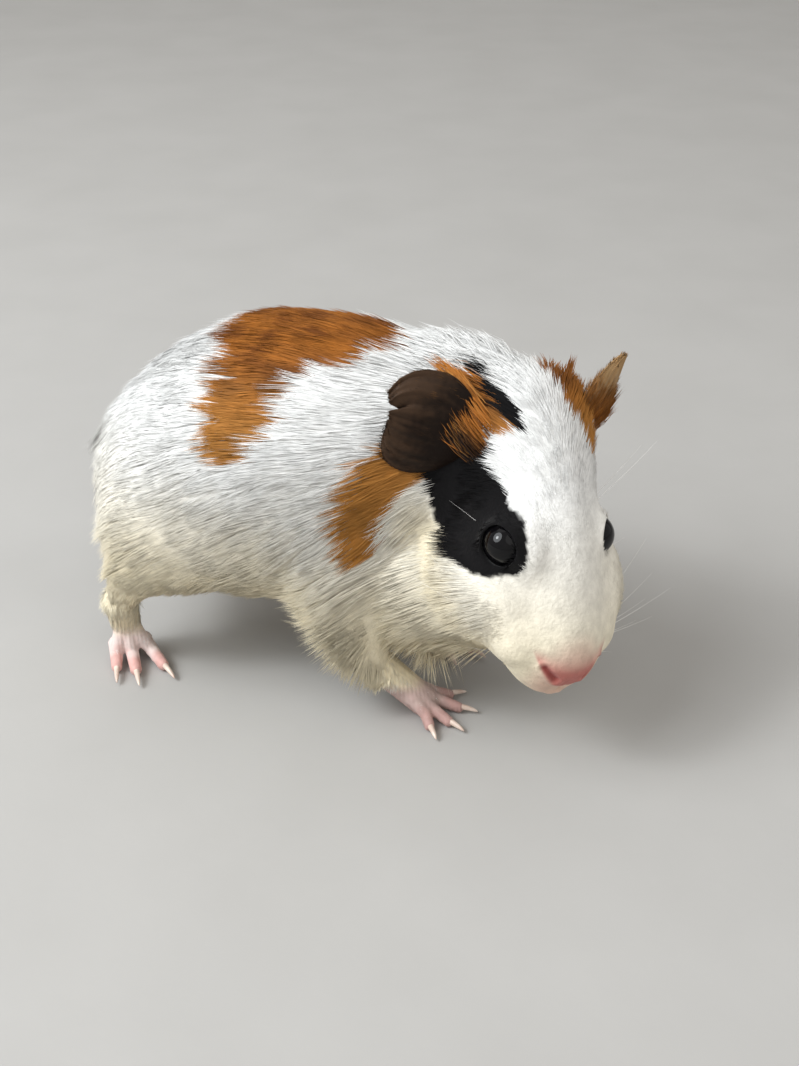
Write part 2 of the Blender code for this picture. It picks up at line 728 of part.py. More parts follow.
def stand_on_origin(nodes):
    """Moves every node so that the box's middle is over the origin and the soles are at zero."""
    corners = [vert.co for node in nodes for vert in node.data.vertices]
    middle_x = (min(c.x for c in corners) + max(c.x for c in corners)) / 2
    middle_y = (min(c.y for c in corners) + max(c.y for c in corners)) / 2
    shift = Matrix.Translation(Vector((-middle_x, -middle_y, -min(c.z for c in corners))))
    for node in nodes:
        node.data.transform(shift)
    return shift.translation


def main():
    clear_scene()
    parts = new_collection("guinea_pig_pup")
    cutters = new_collection("cutters", hidden=True)
    fine = flesh(cutters)
    coarse = decimated_copy(fine, "coarse_flesh", BODY_TRIANGLES, cutters)
    detailed = decimated_copy(fine, "detailed_flesh", HEAD_TRIANGLES, cutters)
    nodes = make_trunk_nodes(coarse, parts, cutters)
    nodes.append(make_head(detailed, parts, cutters))
    for side in (RIGHT, LEFT):
        nodes.append(make_ear(side, detailed, parts, cutters))
        nodes.append(make_eye(side, parts))
        nodes.append(foot("hind", side, HIND_FOOT[side], HIND_LEG[side], HIND_TOES, parts, cutters))
        nodes.append(foot("fore", side, FORE_FOOT[side], FORE_LEG[side], FORE_TOES, parts, cutters))
    for helper in (fine, coarse, detailed):
        remove(helper)
    shift = stand_on_origin(nodes)
    for node in nodes:
        finish(node)
        node.data.calc_loop_triangles()
        print(node.name, len(node.data.loop_triangles), "triangles")
    print("moved by", [round(value / MM, 2) for value in shift], "mm")


main()
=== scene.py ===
# %% [markdown]
# # A young guinea pig in three colours
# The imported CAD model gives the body, its pose and every measure. This lesson dresses it: a skin
# that hides the solid parts, wet eyes with lids, thin ears, bare pink feet with claws, and a coat
# of short fur made of solid tufts. Everything is worked out in millimetres, because the animal is
# only eleven centimetres long, and turned into metres when a mesh is made.

# %% Load the frame
import math

import bmesh
import bpy
import numpy as np
from mathutils import Matrix, Vector, noise
from mathutils.kdtree import KDTree


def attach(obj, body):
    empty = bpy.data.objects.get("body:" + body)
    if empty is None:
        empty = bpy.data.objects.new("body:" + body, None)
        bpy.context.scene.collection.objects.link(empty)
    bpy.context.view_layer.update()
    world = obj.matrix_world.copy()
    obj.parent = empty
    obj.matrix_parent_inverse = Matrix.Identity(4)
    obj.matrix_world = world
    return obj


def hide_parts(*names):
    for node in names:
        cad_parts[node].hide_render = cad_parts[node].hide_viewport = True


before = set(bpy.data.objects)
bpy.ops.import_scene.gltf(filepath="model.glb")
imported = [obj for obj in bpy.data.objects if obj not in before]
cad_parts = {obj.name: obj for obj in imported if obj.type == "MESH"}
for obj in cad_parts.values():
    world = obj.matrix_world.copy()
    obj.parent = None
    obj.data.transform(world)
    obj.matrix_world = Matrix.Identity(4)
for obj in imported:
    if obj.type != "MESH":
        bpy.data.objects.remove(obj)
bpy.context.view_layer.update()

MM = 0.001

# %% [markdown]
# ## The head's own axes
# The head is turned to the animal's right, lowered and a little rolled. Its parts are easier to
# describe in axes that turn with it: ahead to the nose, left, and up. The origin is midway between
# the eyes. A point of the right side is the mirror image of one on the left, so each face part is
# described once and placed twice.

# %% Head axes
EYE_MIDPOINT = Vector((42.29, -12.46, 45.1))
HEAD_YAW = math.radians(-48.4)
HEAD_PITCH = math.radians(32.8)
HEAD_ROLL = math.radians(-11)
RIGHT = -1
LEFT = 1
SIDE_NAMES = {RIGHT: "right", LEFT: "left"}


def head_axes():
    forward = Vector((math.cos(HEAD_PITCH) * math.cos(HEAD_YAW),
                      math.cos(HEAD_PITCH) * math.sin(HEAD_YAW),
                      -math.sin(HEAD_PITCH)))
    level_left = Vector((-math.sin(HEAD_YAW), math.cos(HEAD_YAW), 0))
    level_up = forward.cross(level_left)
    left = math.cos(HEAD_ROLL) * level_left + math.sin(HEAD_ROLL) * level_up
    return forward, left, forward.cross(left)


FORWARD, LEFTWARD, UPWARD = head_axes()
HEAD_TURN = Matrix((FORWARD, LEFTWARD, UPWARD)).transposed()
TO_HEAD = np.array((FORWARD, LEFTWARD, UPWARD))


def in_head(point, side=LEFT):
    ahead, across, up = point
    return EYE_MIDPOINT + HEAD_TURN @ Vector((ahead, across * side, up))


def head_direction(vector, side=LEFT):
    ahead, across, up = vector
    return (HEAD_TURN @ Vector((ahead, across * side, up))).normalized()


def head_coordinates(places):
    """Places in millimetres, as ahead, left and up from between the eyes."""
    return (places - np.array(EYE_MIDPOINT)) @ TO_HEAD.T


print("nose points along", [round(value, 2) for value in FORWARD])

# %% [markdown]
# ## Camera
# The photograph looks down on the animal from its right and a little from in front. The camera's
# place was found by matching the feet, back, ear and eyes with the solids. Blender measures the
# field of view by sensor width, so a focal length in pixels becomes one in millimetres.

# %% Camera
CAMERA_PLACE = Vector((95.59, -238.66, 185))
CAMERA_AZIMUTH = math.radians(20)
CAMERA_ELEVATION = math.radians(31)
PHOTO_HEIGHT = 1066
FOCAL_PIXELS = 1500
SENSOR = 36

def add_object(name, data):
    thing = bpy.data.objects.new(name, data)
    bpy.context.scene.collection.objects.link(thing)
    return thing


camera_data = bpy.data.cameras.new("Camera")
camera_data.sensor_width = SENSOR
camera_data.lens = FOCAL_PIXELS * SENSOR / PHOTO_HEIGHT
camera_data.clip_start = 0.01
camera = add_object("Camera", camera_data)
camera.location = CAMERA_PLACE * MM
camera.rotation_euler = (math.pi / 2 - CAMERA_ELEVATION, 0, CAMERA_AZIMUTH)
bpy.context.scene.camera = camera
print("lens", round(camera_data.lens, 2), "mm")

# %% [markdown]
# ## Small tools for numbers
# The coat has well over a hundred thousand tufts, so the arithmetic is done on whole arrays with
# numpy. A smooth step gives soft borders, and Blender's own noise gives the uneven growth of real
# fur. Noise depends only on the place, so it is the same on every run.


# %% Number tools
def ramp(low, high, value):
    """A smooth step from 0 at low to 1 at high."""
    part = np.clip((value - low) / (high - low), 0, 1)
    return part * part * (3 - 2 * part)


def bell(value, middle, width):
    return np.exp(-((value - middle) / width) ** 2)


def mix(first, second, part):
    """Blends rows of numbers; part is one number for each row."""
    return first + (second - first) * np.asarray(part)[..., None]


def unit(rows):
    return rows / np.maximum(np.linalg.norm(rows, axis=-1, keepdims=True), 1e-9)


def away_from(places, point):
    return np.linalg.norm(places - point, axis=1)


def beside_line(places, start, end):
    """How far along a line each place is, from 0 to 1, and its distance from the line."""
    start, line = np.array(start), np.array(end) - np.array(start)
    along = np.clip((places - start) @ line / (line @ line), 0, 1)
    return along, np.linalg.norm(places - start - along[:, None] * line, axis=1)


def noise_at(places, scale, shift=0):
    """Blender noise, about -1 to 1, with details of roughly that scale in millimetres."""
    offset = Vector((shift, shift * 0.7, -shift))
    return np.array([noise.noise(Vector(place) / scale + offset) for place in places])


# %% [markdown]
# ## Markings
# The animal is white with a ginger saddle over the back, a ginger band behind the cheek, a black
# patch round the right eye and ginger at the ears. Skin and fur have to agree, so one function
# gives the colour at any place on the body. Each marking is a chain of soft balls along a few
# points, and noise makes its border ragged, as the border of real fur is.

# %% Colours of the coat
WHITE = np.array((0.93, 0.925, 0.905))
CREAM = np.array((0.87, 0.76, 0.52))
GINGER = np.array((0.43, 0.150, 0.024))
DARK_GINGER = np.array((0.19, 0.060, 0.012))
GOLDEN = np.array((0.62, 0.290, 0.070))
BLACK = np.array((0.0035, 0.0030, 0.0035))
PINK = np.array((0.66, 0.36, 0.30))
NOSE_RED = np.array((0.52, 0.17, 0.145))
# NOSTRIL_RED is partly the nostrils' own skin and partly painted shade inside them.
NOSTRIL_RED = np.array((0.30, 0.070, 0.060))

# %% Chains of balls for the markings
# The saddle and the band are in the row frame, the others in the head's axes. Each point has a radius.
SADDLE_CHAINS = (
    ((-15, -3, 76, 10.5), (-6, -2, 78, 13), (2, 0, 78, 8.6)),
    ((-13, -8, 72, 8.5), (-15.5, -17, 65, 7), (-16.8, -22, 59, 4.6)),
    ((-10, 6, 76, 12), (-9, 17, 68, 9), (-14, 24, 58, 7)),
)
BAND_CHAINS = (
    ((15.5, -16, 58, 4.6), (11.5, -20, 54, 5), (8.8, -21.8, 47.5, 4.4), (8.2, -21.8, 41.5, 3.2)),
)
BLACK_CHAINS = (
    ((-17.5, -16.8, 2.3, 4.4), (-12, -15.8, 0.9, 6.8), (-7.2, -14.3, -1.2, 8.6), (-1.2, -12.6, 0.3, 6.9),
     (2.4, -11.4, 1.5, 4.3)),
    ((-22, -14.8, 6.2, 3.4), (-16, -13, 7.3, 2.6)),
)
EAR_TUFT_CHAINS = (
    ((-31.5, -13, 9.6, 2.5), (-28.5, -12.3, 10.2, 3.3), (-23.5, -11.3, 11.2, 3.1), (-18, -10, 11.8, 2.4)),
)
STREAK_CHAINS = (
    ((-32.5, -9.9, 9.4, 1.4), (-28.9, -9.3, 10.8, 1.8), (-24, -8.9, 12.3, 1.9), (-20.3, -8.2, 13.3, 1.9),
     (-16, -7, 13.5, 1.3)),
)
LEFT_EAR_CHAINS = (
    ((-28, 9, 13.5, 6.6), (-21, 9, 13.8, 6.4), (-15.5, 10.2, 12, 4.4), (-12, 11.5, 9, 2.4)),
    ((-12, 15, 4, 3), (-7, 16.5, -1, 2.6)),
)
HEAD_MIDDLE = np.array((-1, 0, -2))
HEAD_REACH = np.array((30, 27, 27))
NOSE_TIP = np.array((22.5, 0, -11.5))


# %% Where the head is, and its bare nose
def headness(head):
    """1 on the head, 0 on the body."""
    distance = np.linalg.norm((head - HEAD_MIDDLE) / HEAD_REACH, axis=1)
    muzzle = ramp(4, 10, head[:, 0]) * ramp(-27, -22, head[:, 2])
    return np.maximum(ramp(1.18, 0.88, distance), muzzle)


def nose_pad(head):
    """1 on the bare crescent below the tip of the nose, 0 elsewhere."""
    ahead, aside, up = head.T
    low = -12.9 + 3.9 * (np.abs(aside) / 6) ** 2
    inside = np.minimum((-7 - up) * 0.5, up - low)
    return ramp(-0.8, 1, inside) * ramp(17, 19.8, ahead)


def nose_pink(head):
    """How much pink shows: fully on the bare nose, faintly through the thin fur round it."""
    reach = np.linalg.norm((head - NOSE_TIP) / (1, 0.95, 1.25), axis=1)
    return np.maximum(nose_pad(head), 0.62 * ramp(9.6, 4, reach))


# %% The colour at a place
def chain_depth(places, chains):
    """How deep inside the nearest ball each place is: 1 at a centre, 0 at the border."""
    best = np.full(len(places), -9)
    for chain in chains:
        for start, end in zip(chain, chain[1:]):
            along, distance = beside_line(places, start[:3], end[:3])
            best = np.maximum(best, 1 - distance / (start[3] + (end[3] - start[3]) * along))
    return best


def coat_colour(places):
    """The colour of the coat at places in millimetres."""
    head = head_coordinates(places)
    height = places[:, 2]
    ragged = 0.16 * noise_at(places, 3.2) + 0.10 * noise_at(places, 1.1, 5)
    # Lower down the white turns cream, and under the eyes the head does too: partly the coat's own
    # yellowish tint, partly painted shade and warm light bounced up from below.
    low = ramp(58, 20, height + 5 * noise_at(places, 16, 2))
    low = np.maximum(low, 0.9 * ramp(0, -13, head[:, 2]) * headness(head))
    colour = mix(WHITE, CREAM, 0.85 * low)
    ginger_tone = mix(GINGER, DARK_GINGER, ramp(-0.35, 0.5, noise_at(places, 5, 9)))
    ginger_tone = mix(ginger_tone, GOLDEN, 0.65 * ramp(72, 60, height))
    ginger = chain_depth(places, SADDLE_CHAINS + BAND_CHAINS)
    ginger = np.maximum(ginger, chain_depth(head, EAR_TUFT_CHAINS + LEFT_EAR_CHAINS))
    colour = mix(colour, ginger_tone, ramp(-0.05, 0.05, ginger + ragged))
    black = chain_depth(head, BLACK_CHAINS + STREAK_CHAINS)
    colour = mix(colour, BLACK, ramp(-0.03, 0.03, black + 0.6 * ragged))
    colour = mix(colour, PINK, nose_pink(head))
    return mix(colour, NOSE_RED, 0.9 * nose_pad(head))


print("ginger at", len(SADDLE_CHAINS) + len(BAND_CHAINS), "chains on the body")

# %% [markdown]
# ## Meshes from arrays
# Blender can take whole arrays of points and faces at once, which is far quicker than adding them
# one by one. Each piece is put into the scene and rides on the animal's one rigid body.


# %% Mesh helpers
SIDES = (RIGHT, LEFT)


def add_piece(name, mesh, slot, finish, *replaced):
    """A piece that rides on the animal; it may stand for nodes of the CAD model."""
    piece = add_object(name, mesh)
    mesh.materials.clear()
    mesh.materials.append(finish)
    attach(piece, "root")
    if replaced:
        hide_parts(*replaced)
    return piece


def mesh_from_triangles(name, points, triangles):
    """A smooth mesh from points in millimetres."""
    mesh = bpy.data.meshes.new(name)
    mesh.vertices.add(len(points))
    mesh.vertices.foreach_set("co", (points * MM).astype(np.float32).ravel())
    mesh.loops.add(len(triangles) * 3)
    mesh.loops.foreach_set("vertex_index", triangles.astype(np.int32).ravel())
    mesh.polygons.add(len(triangles))
    mesh.polygons.foreach_set("loop_start", np.arange(0, len(triangles) * 3, 3, dtype=np.int32))
    mesh.update(calc_edges=True)
    mesh.shade_smooth()
    return mesh


def paint(mesh, colours):
    """Stores one colour for each point, under the name that the materials read."""
    layer = mesh.attributes.new("coat_colour", "FLOAT_COLOR", "POINT")
    full = np.ones((len(mesh.vertices), 4), np.float32)
    full[:, :3] = colours
    layer.data.foreach_set("color", full.ravel())


def mesh_arrays(mesh):
    """Points and normals in millimetres and the triangles of a mesh, as arrays."""
    points = np.zeros(len(mesh.vertices) * 3)
    normals = np.zeros_like(points)
    mesh.vertices.foreach_get("co", points)
    mesh.vertices.foreach_get("normal", normals)
    mesh.calc_loop_triangles()
    triangles = np.zeros(len(mesh.loop_triangles) * 3, np.int32)
    mesh.loop_triangles.foreach_get("vertices", triangles)
    return points.reshape(-1, 3) / MM, normals.reshape(-1, 3), triangles.reshape(-1, 3)


def move_points(mesh, places):
    mesh.vertices.foreach_set("co", (places * MM).astype(np.float32).ravel())
    mesh.update()


# %% [markdown]
# Some forms are easier to build in an edit mesh, and some need a modifier. These tools turn an
# edit mesh into a piece's mesh, and melt overlapping balls and solids into one smooth surface.


# %% Tools for edit meshes and modifiers
def from_bmesh(bm, name):
    """A smooth mesh from an edit mesh, which is then freed."""
    mesh = bpy.data.meshes.new(name)
    bm.to_mesh(mesh)
    bm.free()
    mesh.shade_smooth()
    return mesh


def face_outward(mesh):
    bm = bmesh.new()
    bm.from_mesh(mesh)
    bmesh.ops.recalc_face_normals(bm, faces=bm.faces)
    bm.to_mesh(mesh)
    bm.free()


def reshaped(mesh, rounds, voxel=0, growth=0):
    """The mesh grown outward, melted into one surface, and smoothed in so many rounds."""
    thing = add_object(mesh.name, mesh)
    if growth:
        grow = thing.modifiers.new("Grow", "DISPLACE")
        grow.strength = growth * MM
        grow.mid_level = 0
    if voxel:
        remesh = thing.modifiers.new("One surface", "REMESH")
        remesh.mode = "VOXEL"
        remesh.voxel_size = voxel * MM
    smooth = thing.modifiers.new("Smooth", "SMOOTH")
    smooth.factor = 0.5
    smooth.iterations = rounds
    depsgraph = bpy.context.evaluated_depsgraph_get()
    made = bpy.data.meshes.new_from_object(thing.evaluated_get(depsgraph))
    bpy.data.objects.remove(thing)
    return made


# %% [markdown]
# ## Materials
# Fur, skin, horn and a wet eye all use the Principled shader, because every renderer knows it. The
# coat reads its colour from the mesh and lets noise vary it from tuft to tuft. Fine bumps stand
# for the hairs that are too thin to model, and a low specular level keeps fur from looking wet.


# %% Material helpers
FUR_SPECULAR = 0.12
TONE_RANGE = (0.86, 1.06)


def set_inputs(node, values):
    for name, value in values.items():
        node.inputs[name].default_value = value


def new_material(name, roughness, sheen, specular):
    made = bpy.data.materials.new(name)
    made.use_nodes = True
    shader = made.node_tree.nodes["Principled BSDF"]
    set_inputs(shader, {"Roughness": roughness, "Sheen Weight": sheen, "Specular IOR Level": specular})
    return made, made.node_tree, shader


def add_noise(tree, scale, detail):
    """A noise over the object's own coordinates."""
    coordinates = tree.nodes.new("ShaderNodeTexCoord")
    texture = tree.nodes.new("ShaderNodeTexNoise")
    set_inputs(texture, {"Scale": scale, "Detail": detail})
    tree.links.new(coordinates.outputs["Object"], texture.inputs["Vector"])
    return texture.outputs["Fac"]


def spread(tree, noise_value, low, high):
    """Spreads the middle of a noise over the range from low to high."""
    node = tree.nodes.new("ShaderNodeMapRange")
    set_inputs(node, {"From Min": 0.3, "From Max": 0.7, "To Min": low, "To Max": high})
    tree.links.new(noise_value, node.inputs["Value"])
    return node.outputs["Result"]


def add_bump(tree, shader, strength, scale, depth):
    bump = tree.nodes.new("ShaderNodeBump")
    set_inputs(bump, {"Strength": strength, "Distance": depth})
    tree.links.new(add_noise(tree, scale, 2), bump.inputs["Height"])
    tree.links.new(bump.outputs["Normal"], shader.inputs["Normal"])


# %% Two kinds of material
def painted_material(name, roughness, sheen, scale, bump):
    """Takes its colour from the mesh and varies it with noise; bump is a scale and a depth."""
    made, tree, shader = new_material(name, roughness, sheen, FUR_SPECULAR)
    attribute = tree.nodes.new("ShaderNodeAttribute")
    attribute.attribute_name = "coat_colour"
    scaled = tree.nodes.new("ShaderNodeVectorMath")
    scaled.operation = "SCALE"
    tree.links.new(attribute.outputs["Color"], scaled.inputs["Vector"])
    tree.links.new(spread(tree, add_noise(tree, scale, 3), *TONE_RANGE), scaled.inputs["Scale"])
    tree.links.new(scaled.outputs["Vector"], shader.inputs["Base Color"])
    add_bump(tree, shader, 0.6, *bump)
    return made


def mottled_material(name, first, second, roughness, scale, bump=None, specular=0.5, detail=4):
    """Two colours mixed by noise, with a fine bump."""
    made, tree, shader = new_material(name, roughness, 0, specular)
    blend = tree.nodes.new("ShaderNodeMix")
    blend.data_type = "RGBA"
    set_inputs(blend, {"A": (*first, 1), "B": (*second, 1)})
    tree.links.new(spread(tree, add_noise(tree, scale, detail), 0, 1), blend.inputs["Factor"])
    tree.links.new(blend.outputs["Result"], shader.inputs["Base Color"])
    if bump:
        add_bump(tree, shader, 0.5, *bump)
    return made


# %% The finishes
LID_BUMP = (1300, 0.00004)
FUR = painted_material("soft_fur", 0.65, 0, 420, (2600, 0.00003))
UNDERCOAT = painted_material("undercoat", 0.85, 0.1, 500, (1500, 0.00025))
EAR_SKIN = painted_material("ear_skin", 0.5, 0, 600, (900, 0.00012))
FOOT_SKIN = painted_material("foot_skin", 0.5, 0, 520, (1300, 0.00012))
HORN = mottled_material("claw_horn", (0.60, 0.43, 0.35), (0.78, 0.66, 0.57), 0.28, 420, (900, 0.00002))
LID_SKIN = mottled_material("lid_skin", (0.006, 0.005, 0.006), (0.016, 0.013, 0.014), 0.34, 500, LID_BUMP)
# The pale lid colour is the left eye's own lid skin, and on the lower lid edges a painted reflection.
PALE_LID_SKIN_AND_SHINE = mottled_material("pale_lid_skin_and_shine", (0.36, 0.22, 0.20), (0.50, 0.34, 0.31), 0.38, 500,
                                 LID_BUMP)
WHISKER = mottled_material("whisker_hair", (0.80, 0.78, 0.74), (0.92, 0.91, 0.88), 0.35, 300,
                           (900, 0.00001))
print("materials", len(bpy.data.materials))

# %% [markdown]
# ## Skin
# A real coat hides one unbroken skin, while the CAD model is cut into torso, neck, head and legs
# with small gaps. The parts could be joined by booleans, but a voxel remesh is surer: the parts
# are copied, grown until the gaps close, turned into one surface and smoothed. Short sleeves reach
# down into the feet, so that skin and foot meet at each ankle.

# %% Join the flesh
ROW_SHIFT = Vector((0.69, 0.14, 0))
# Each ankle's sleeve, from inside the leg down to inside the foot, with a radius at each point.
SLEEVES = (
    ((-45.6, -17.8, 16, 4.4), (-46.4, -17, 12, 3.9), (-47, -15.8, 6.5, 2.7)),
    ((-33.6, 20.6, 16, 4.4), (-33.6, 21, 12, 3.9), (-32.4, 21.3, 6.5, 2.7)),
    ((8.6, -15.6, 13, 4.2), (10.6, -15, 9.6, 3.8), (13.8, -14, 6, 2.7)),
    ((5.8, 15.2, 13, 4.2), (7.6, 14.5, 9.6, 3.8), (10.8, 13.4, 6, 2.7)),
)
FLESH = ("torso", "neck", "head", "hindleg_right", "hindleg_left", "foreleg_right", "foreleg_left")
GROWTH = 0.42
LIMB_STEPS = 8
SKIN_VOXEL = 0.66


def add_limb(bm, path):
    """A limb of overlapping balls through a path of x, y, z and radius."""
    path = np.array(path)
    fine = [path[-1]]
    for first, second in zip(path, path[1:]):
        fine += [first + (second - first) * step / LIMB_STEPS for step in range(LIMB_STEPS)]
    for place in fine:
        ball = bmesh.ops.create_icosphere(bm, subdivisions=2, radius=place[3] * MM)
        bmesh.ops.translate(bm, verts=ball["verts"], vec=Vector(place[:3]) * MM)


def joined_flesh():
    bm = bmesh.new()
    for sleeve in SLEEVES:
        add_limb(bm, [(*(Vector(step[:3]) + ROW_SHIFT), step[3] - GROWTH) for step in sleeve])
    for name in FLESH:
        bm.from_mesh(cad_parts[name].data)
    bmesh.ops.remove_doubles(bm, verts=bm.verts, dist=0.01 * MM)
    return reshaped(from_bmesh(bm, "flesh"), 6, SKIN_VOXEL, GROWTH)


skin_mesh = joined_flesh()
print("one surface of", len(skin_mesh.polygons), "faces")

# %% [markdown]
# The creases between the joined parts are evened out first, because a coat hides them. Then the
# skin goes in by the depth of the coat, so that the tips of the fur end where the solids end. On a
# sleek pup that is under a millimetre on the body, about two at the nape and on the legs, and next
# to nothing round the eyes and on the bare nose and lips.

# %% Draw the skin in
EYE_RADIUS = 4.3
EYE_CENTRE = {RIGHT: (0.2, 10, 1), LEFT: (0.2, 8.2, 0.4)}
BODY_DEPTH = 0.7
HACKLES = np.array((24, 2, 74))
DEPTH_BY_HEIGHT = ((4, 7, 11, 17, 26, 34), (0.2, 0.9, 2.4, 2.2, 1.3, BODY_DEPTH))
DEPTH_ALONG_HEAD = ((-26, -12, 4, 15, 19.5), (1.9, 1, 0.4, 0.25, 0.05))
EVENING_ROUNDS = 110
eye_centres = {side: np.array(in_head(EYE_CENTRE[side], side)) for side in SIDES}


def eye_distance(places):
    return np.min([away_from(places, centre) for centre in eye_centres.values()], axis=0)


def coat_depth(places):
    head = head_coordinates(places)
    body = np.interp(places[:, 2], *DEPTH_BY_HEIGHT)
    body += 1.3 * ramp(20, 8, away_from(places, HACKLES))
    face = np.interp(head[:, 0], *DEPTH_ALONG_HEAD)
    depth = body + (face - body) * headness(head)
    return depth * ramp(4.6, 9.5, eye_distance(places))


def evened(mesh):
    """Points with the creases between the joined parts evened out, on the body only."""
    places, _, _ = mesh_arrays(mesh)
    share = (1 - headness(head_coordinates(places))) * ramp(13, 20, places[:, 2])
    edges = np.zeros(len(mesh.edges) * 2, np.int32)
    mesh.edges.foreach_get("vertices", edges)
    start, end = edges.reshape(-1, 2).T
    neighbours = np.bincount(edges, minlength=len(places))[:, None]
    for _ in range(EVENING_ROUNDS):
        total = np.zeros_like(places)
        np.add.at(total, start, places[end])
        np.add.at(total, end, places[start])
        places = places + 0.5 * share[:, None] * (total / neighbours - places)
    return places


move_points(skin_mesh, evened(skin_mesh))
points, normals, _ = mesh_arrays(skin_mesh)
depth = coat_depth(points)
move_points(skin_mesh, points - normals * (GROWTH + depth)[:, None])
skin_mesh = reshaped(skin_mesh, 3)
print("the skin lies up to", round(float(depth.max()), 1), "mm inside the solids")

# %% [markdown]
# The nose and mouth need finer faces than the rest, so only the muzzle is divided again. Then the
# nostrils, the cleft and the line of the mouth are pressed in along short paths, as a modeller
# draws a wire through soft clay, and the lips and the nose swell a little beside them.

# %% Press in nostrils and mouth
MUZZLE_MIDDLE = Vector(in_head((19.5, 0, -12.5)))
MUZZLE_REACH = 9.5
# Paths in the head's axes, with the depth and the half width of the groove.
NOSTRIL = (((20.9, 5.5, -8.6), (21.8, 4.6, -9.2), (22.7, 3.2, -10.2)), 0.55, 0.65)
CLEFT = (((23.7, 0, -12), (23, 0, -14.6), (22, 0, -16.2)), 0.55, 0.38)
MOUTH = (((22, 0, -16.4), (21, 2.3, -16.6), (18, 4.7, -17.3), (13, 7, -18.4)), 0.7, 0.42)


def refine_muzzle(mesh):
    bm = bmesh.new()
    bm.from_mesh(mesh)
    near = [face for face in bm.faces
            if (face.calc_center_median() / MM - MUZZLE_MIDDLE).length < MUZZLE_REACH]
    edges = list({edge for face in near for edge in face.edges})
    made = bmesh.ops.subdivide_edges(bm, edges=edges, cuts=2, use_grid_fill=True)
    fresh = [part for part in made["geom_inner"] if isinstance(part, bmesh.types.BMVert)]
    for _ in range(5):
        bmesh.ops.smooth_vert(bm, verts=fresh, factor=0.5,
                              use_axis_x=True, use_axis_y=True, use_axis_z=True)
    bmesh.ops.triangulate(bm, faces=bm.faces)
    bm.to_mesh(mesh)
    bm.free()


def groove(head, path, side):
    """Distance of places from a path that is given for the left side."""
    mirrored = np.array(path) * (1, side, 1)
    return np.min([beside_line(head, a, b)[1] for a, b in zip(mirrored, mirrored[1:])], axis=0)


# %% Press the muzzle
def press_muzzle(mesh):
    places, outward, _ = mesh_arrays(mesh)
    head = head_coordinates(places)
    rise = 0.35 * nose_pad(head)
    for side in SIDES:
        nostril = groove(head, NOSTRIL[0], side)
        mouth = groove(head, MOUTH[0], side)
        rise += 0.22 * bell(nostril, 1.3, 0.5) + 0.22 * bell(mouth, 1.1, 0.5)
        rise -= NOSTRIL[1] * bell(nostril, 0, NOSTRIL[2])
        rise -= MOUTH[1] * bell(mouth, 0, MOUTH[2])
    rise -= CLEFT[1] * bell(groove(head, CLEFT[0], LEFT), 0, CLEFT[2])
    move_points(mesh, places + outward * rise[:, None])


refine_muzzle(skin_mesh)
press_muzzle(skin_mesh)
skin_mesh.shade_smooth()
points, normals, skin_triangles = mesh_arrays(skin_mesh)
# The skin is painted a little darker than the coat above it: painted shade deep in the fur, where the skin
# shows between the tufts.
shaded_skin_colour = coat_colour(points) * 0.92
# The nostril slits are painted a darker red: partly the bare skin inside them, partly painted shade in the
# pressed-in grooves.
pits = np.min([groove(head_coordinates(points), NOSTRIL[0], side) for side in SIDES], axis=0)
paint(skin_mesh, mix(shaded_skin_colour, NOSTRIL_RED, ramp(1.1, 0.1, pits)))
add_piece("skin", skin_mesh, "coat", UNDERCOAT, *FLESH)
print("skin of", len(skin_triangles), "triangles")

# %% [markdown]
# ## Eyes
# A guinea pig's eye is a glossy, nearly black ball that fills its lids, as deep as it is wide. The
# CAD eye has few faces, so a finer ball replaces it. The iris is hardly lighter than the pupil, so
# a faint mottling stands for it, and a clear coat with the gloss of tears makes the sharp highlight.

# %% Eyeballs
WET_EYE = mottled_material("wet_eye", (0.001, 0.001, 0.0015), (0.003, 0.0025, 0.003), 0.3, 900,
                           specular=0, detail=5)
set_inputs(WET_EYE.node_tree.nodes["Principled BSDF"],
           {"Coat Weight": 1, "Coat Roughness": 0.015, "Coat IOR": 1.336})
EYE_OUTWARD = {RIGHT: head_direction((0.30, 0.90, 0.32), RIGHT),
               LEFT: head_direction((0.42, 0.70, 0.57), LEFT)}
CORNEA_BULGE = 0.22


def make_eye(side):
    bm = bmesh.new()
    bmesh.ops.create_icosphere(bm, subdivisions=5, radius=EYE_RADIUS * MM)
    outward = EYE_OUTWARD[side]
    for vertex in bm.verts:
        facing = max(0, vertex.co.normalized().dot(outward))
        vertex.co += outward * (CORNEA_BULGE * MM) * facing ** 4
        vertex.co += Vector(eye_centres[side]) * MM
    name = SIDE_NAMES[side]
    return add_piece(f"eyeball_{name}", from_bmesh(bm, "eyeball"), "eye", WET_EYE, f"eye_{name}")


eyeballs = [make_eye(side) for side in SIDES]
print("eyes", [len(eye.data.polygons) for eye in eyeballs])

# %% [markdown]
# ## Lids
# Thin bare rims frame each eye. A rim is a tube swept round an oval that lies on the eyeball; it
# is thickest in the middle of each lid and thins toward the corners, and it sinks into the skin
# behind. The right eye's rim is black as the fur round it. A thin paler tube lies along each lower
# lid, its pale colour a painted reflection on the wet edge of the lid.


# %% Tubes
def rings_round(across, top, angles, flatness=1):
    """Directions from the middle of each ring to its points."""
    return (across[..., None, :] * np.cos(angles)[:, None]
            + top[..., None, :] * np.sin(angles)[:, None] * flatness)


def ring_faces(rings, sides, closed=False):
    """Triangles between rings of points that follow each other along a tube."""
    faces = []
    for j in range(rings if closed else rings - 1):
        here, there = j * sides, (j + 1) % rings * sides
        for i in range(sides):
            k = (i + 1) % sides
            faces += [(here + i, here + k, there + k), (here + i, there + k, there + i)]
    return faces


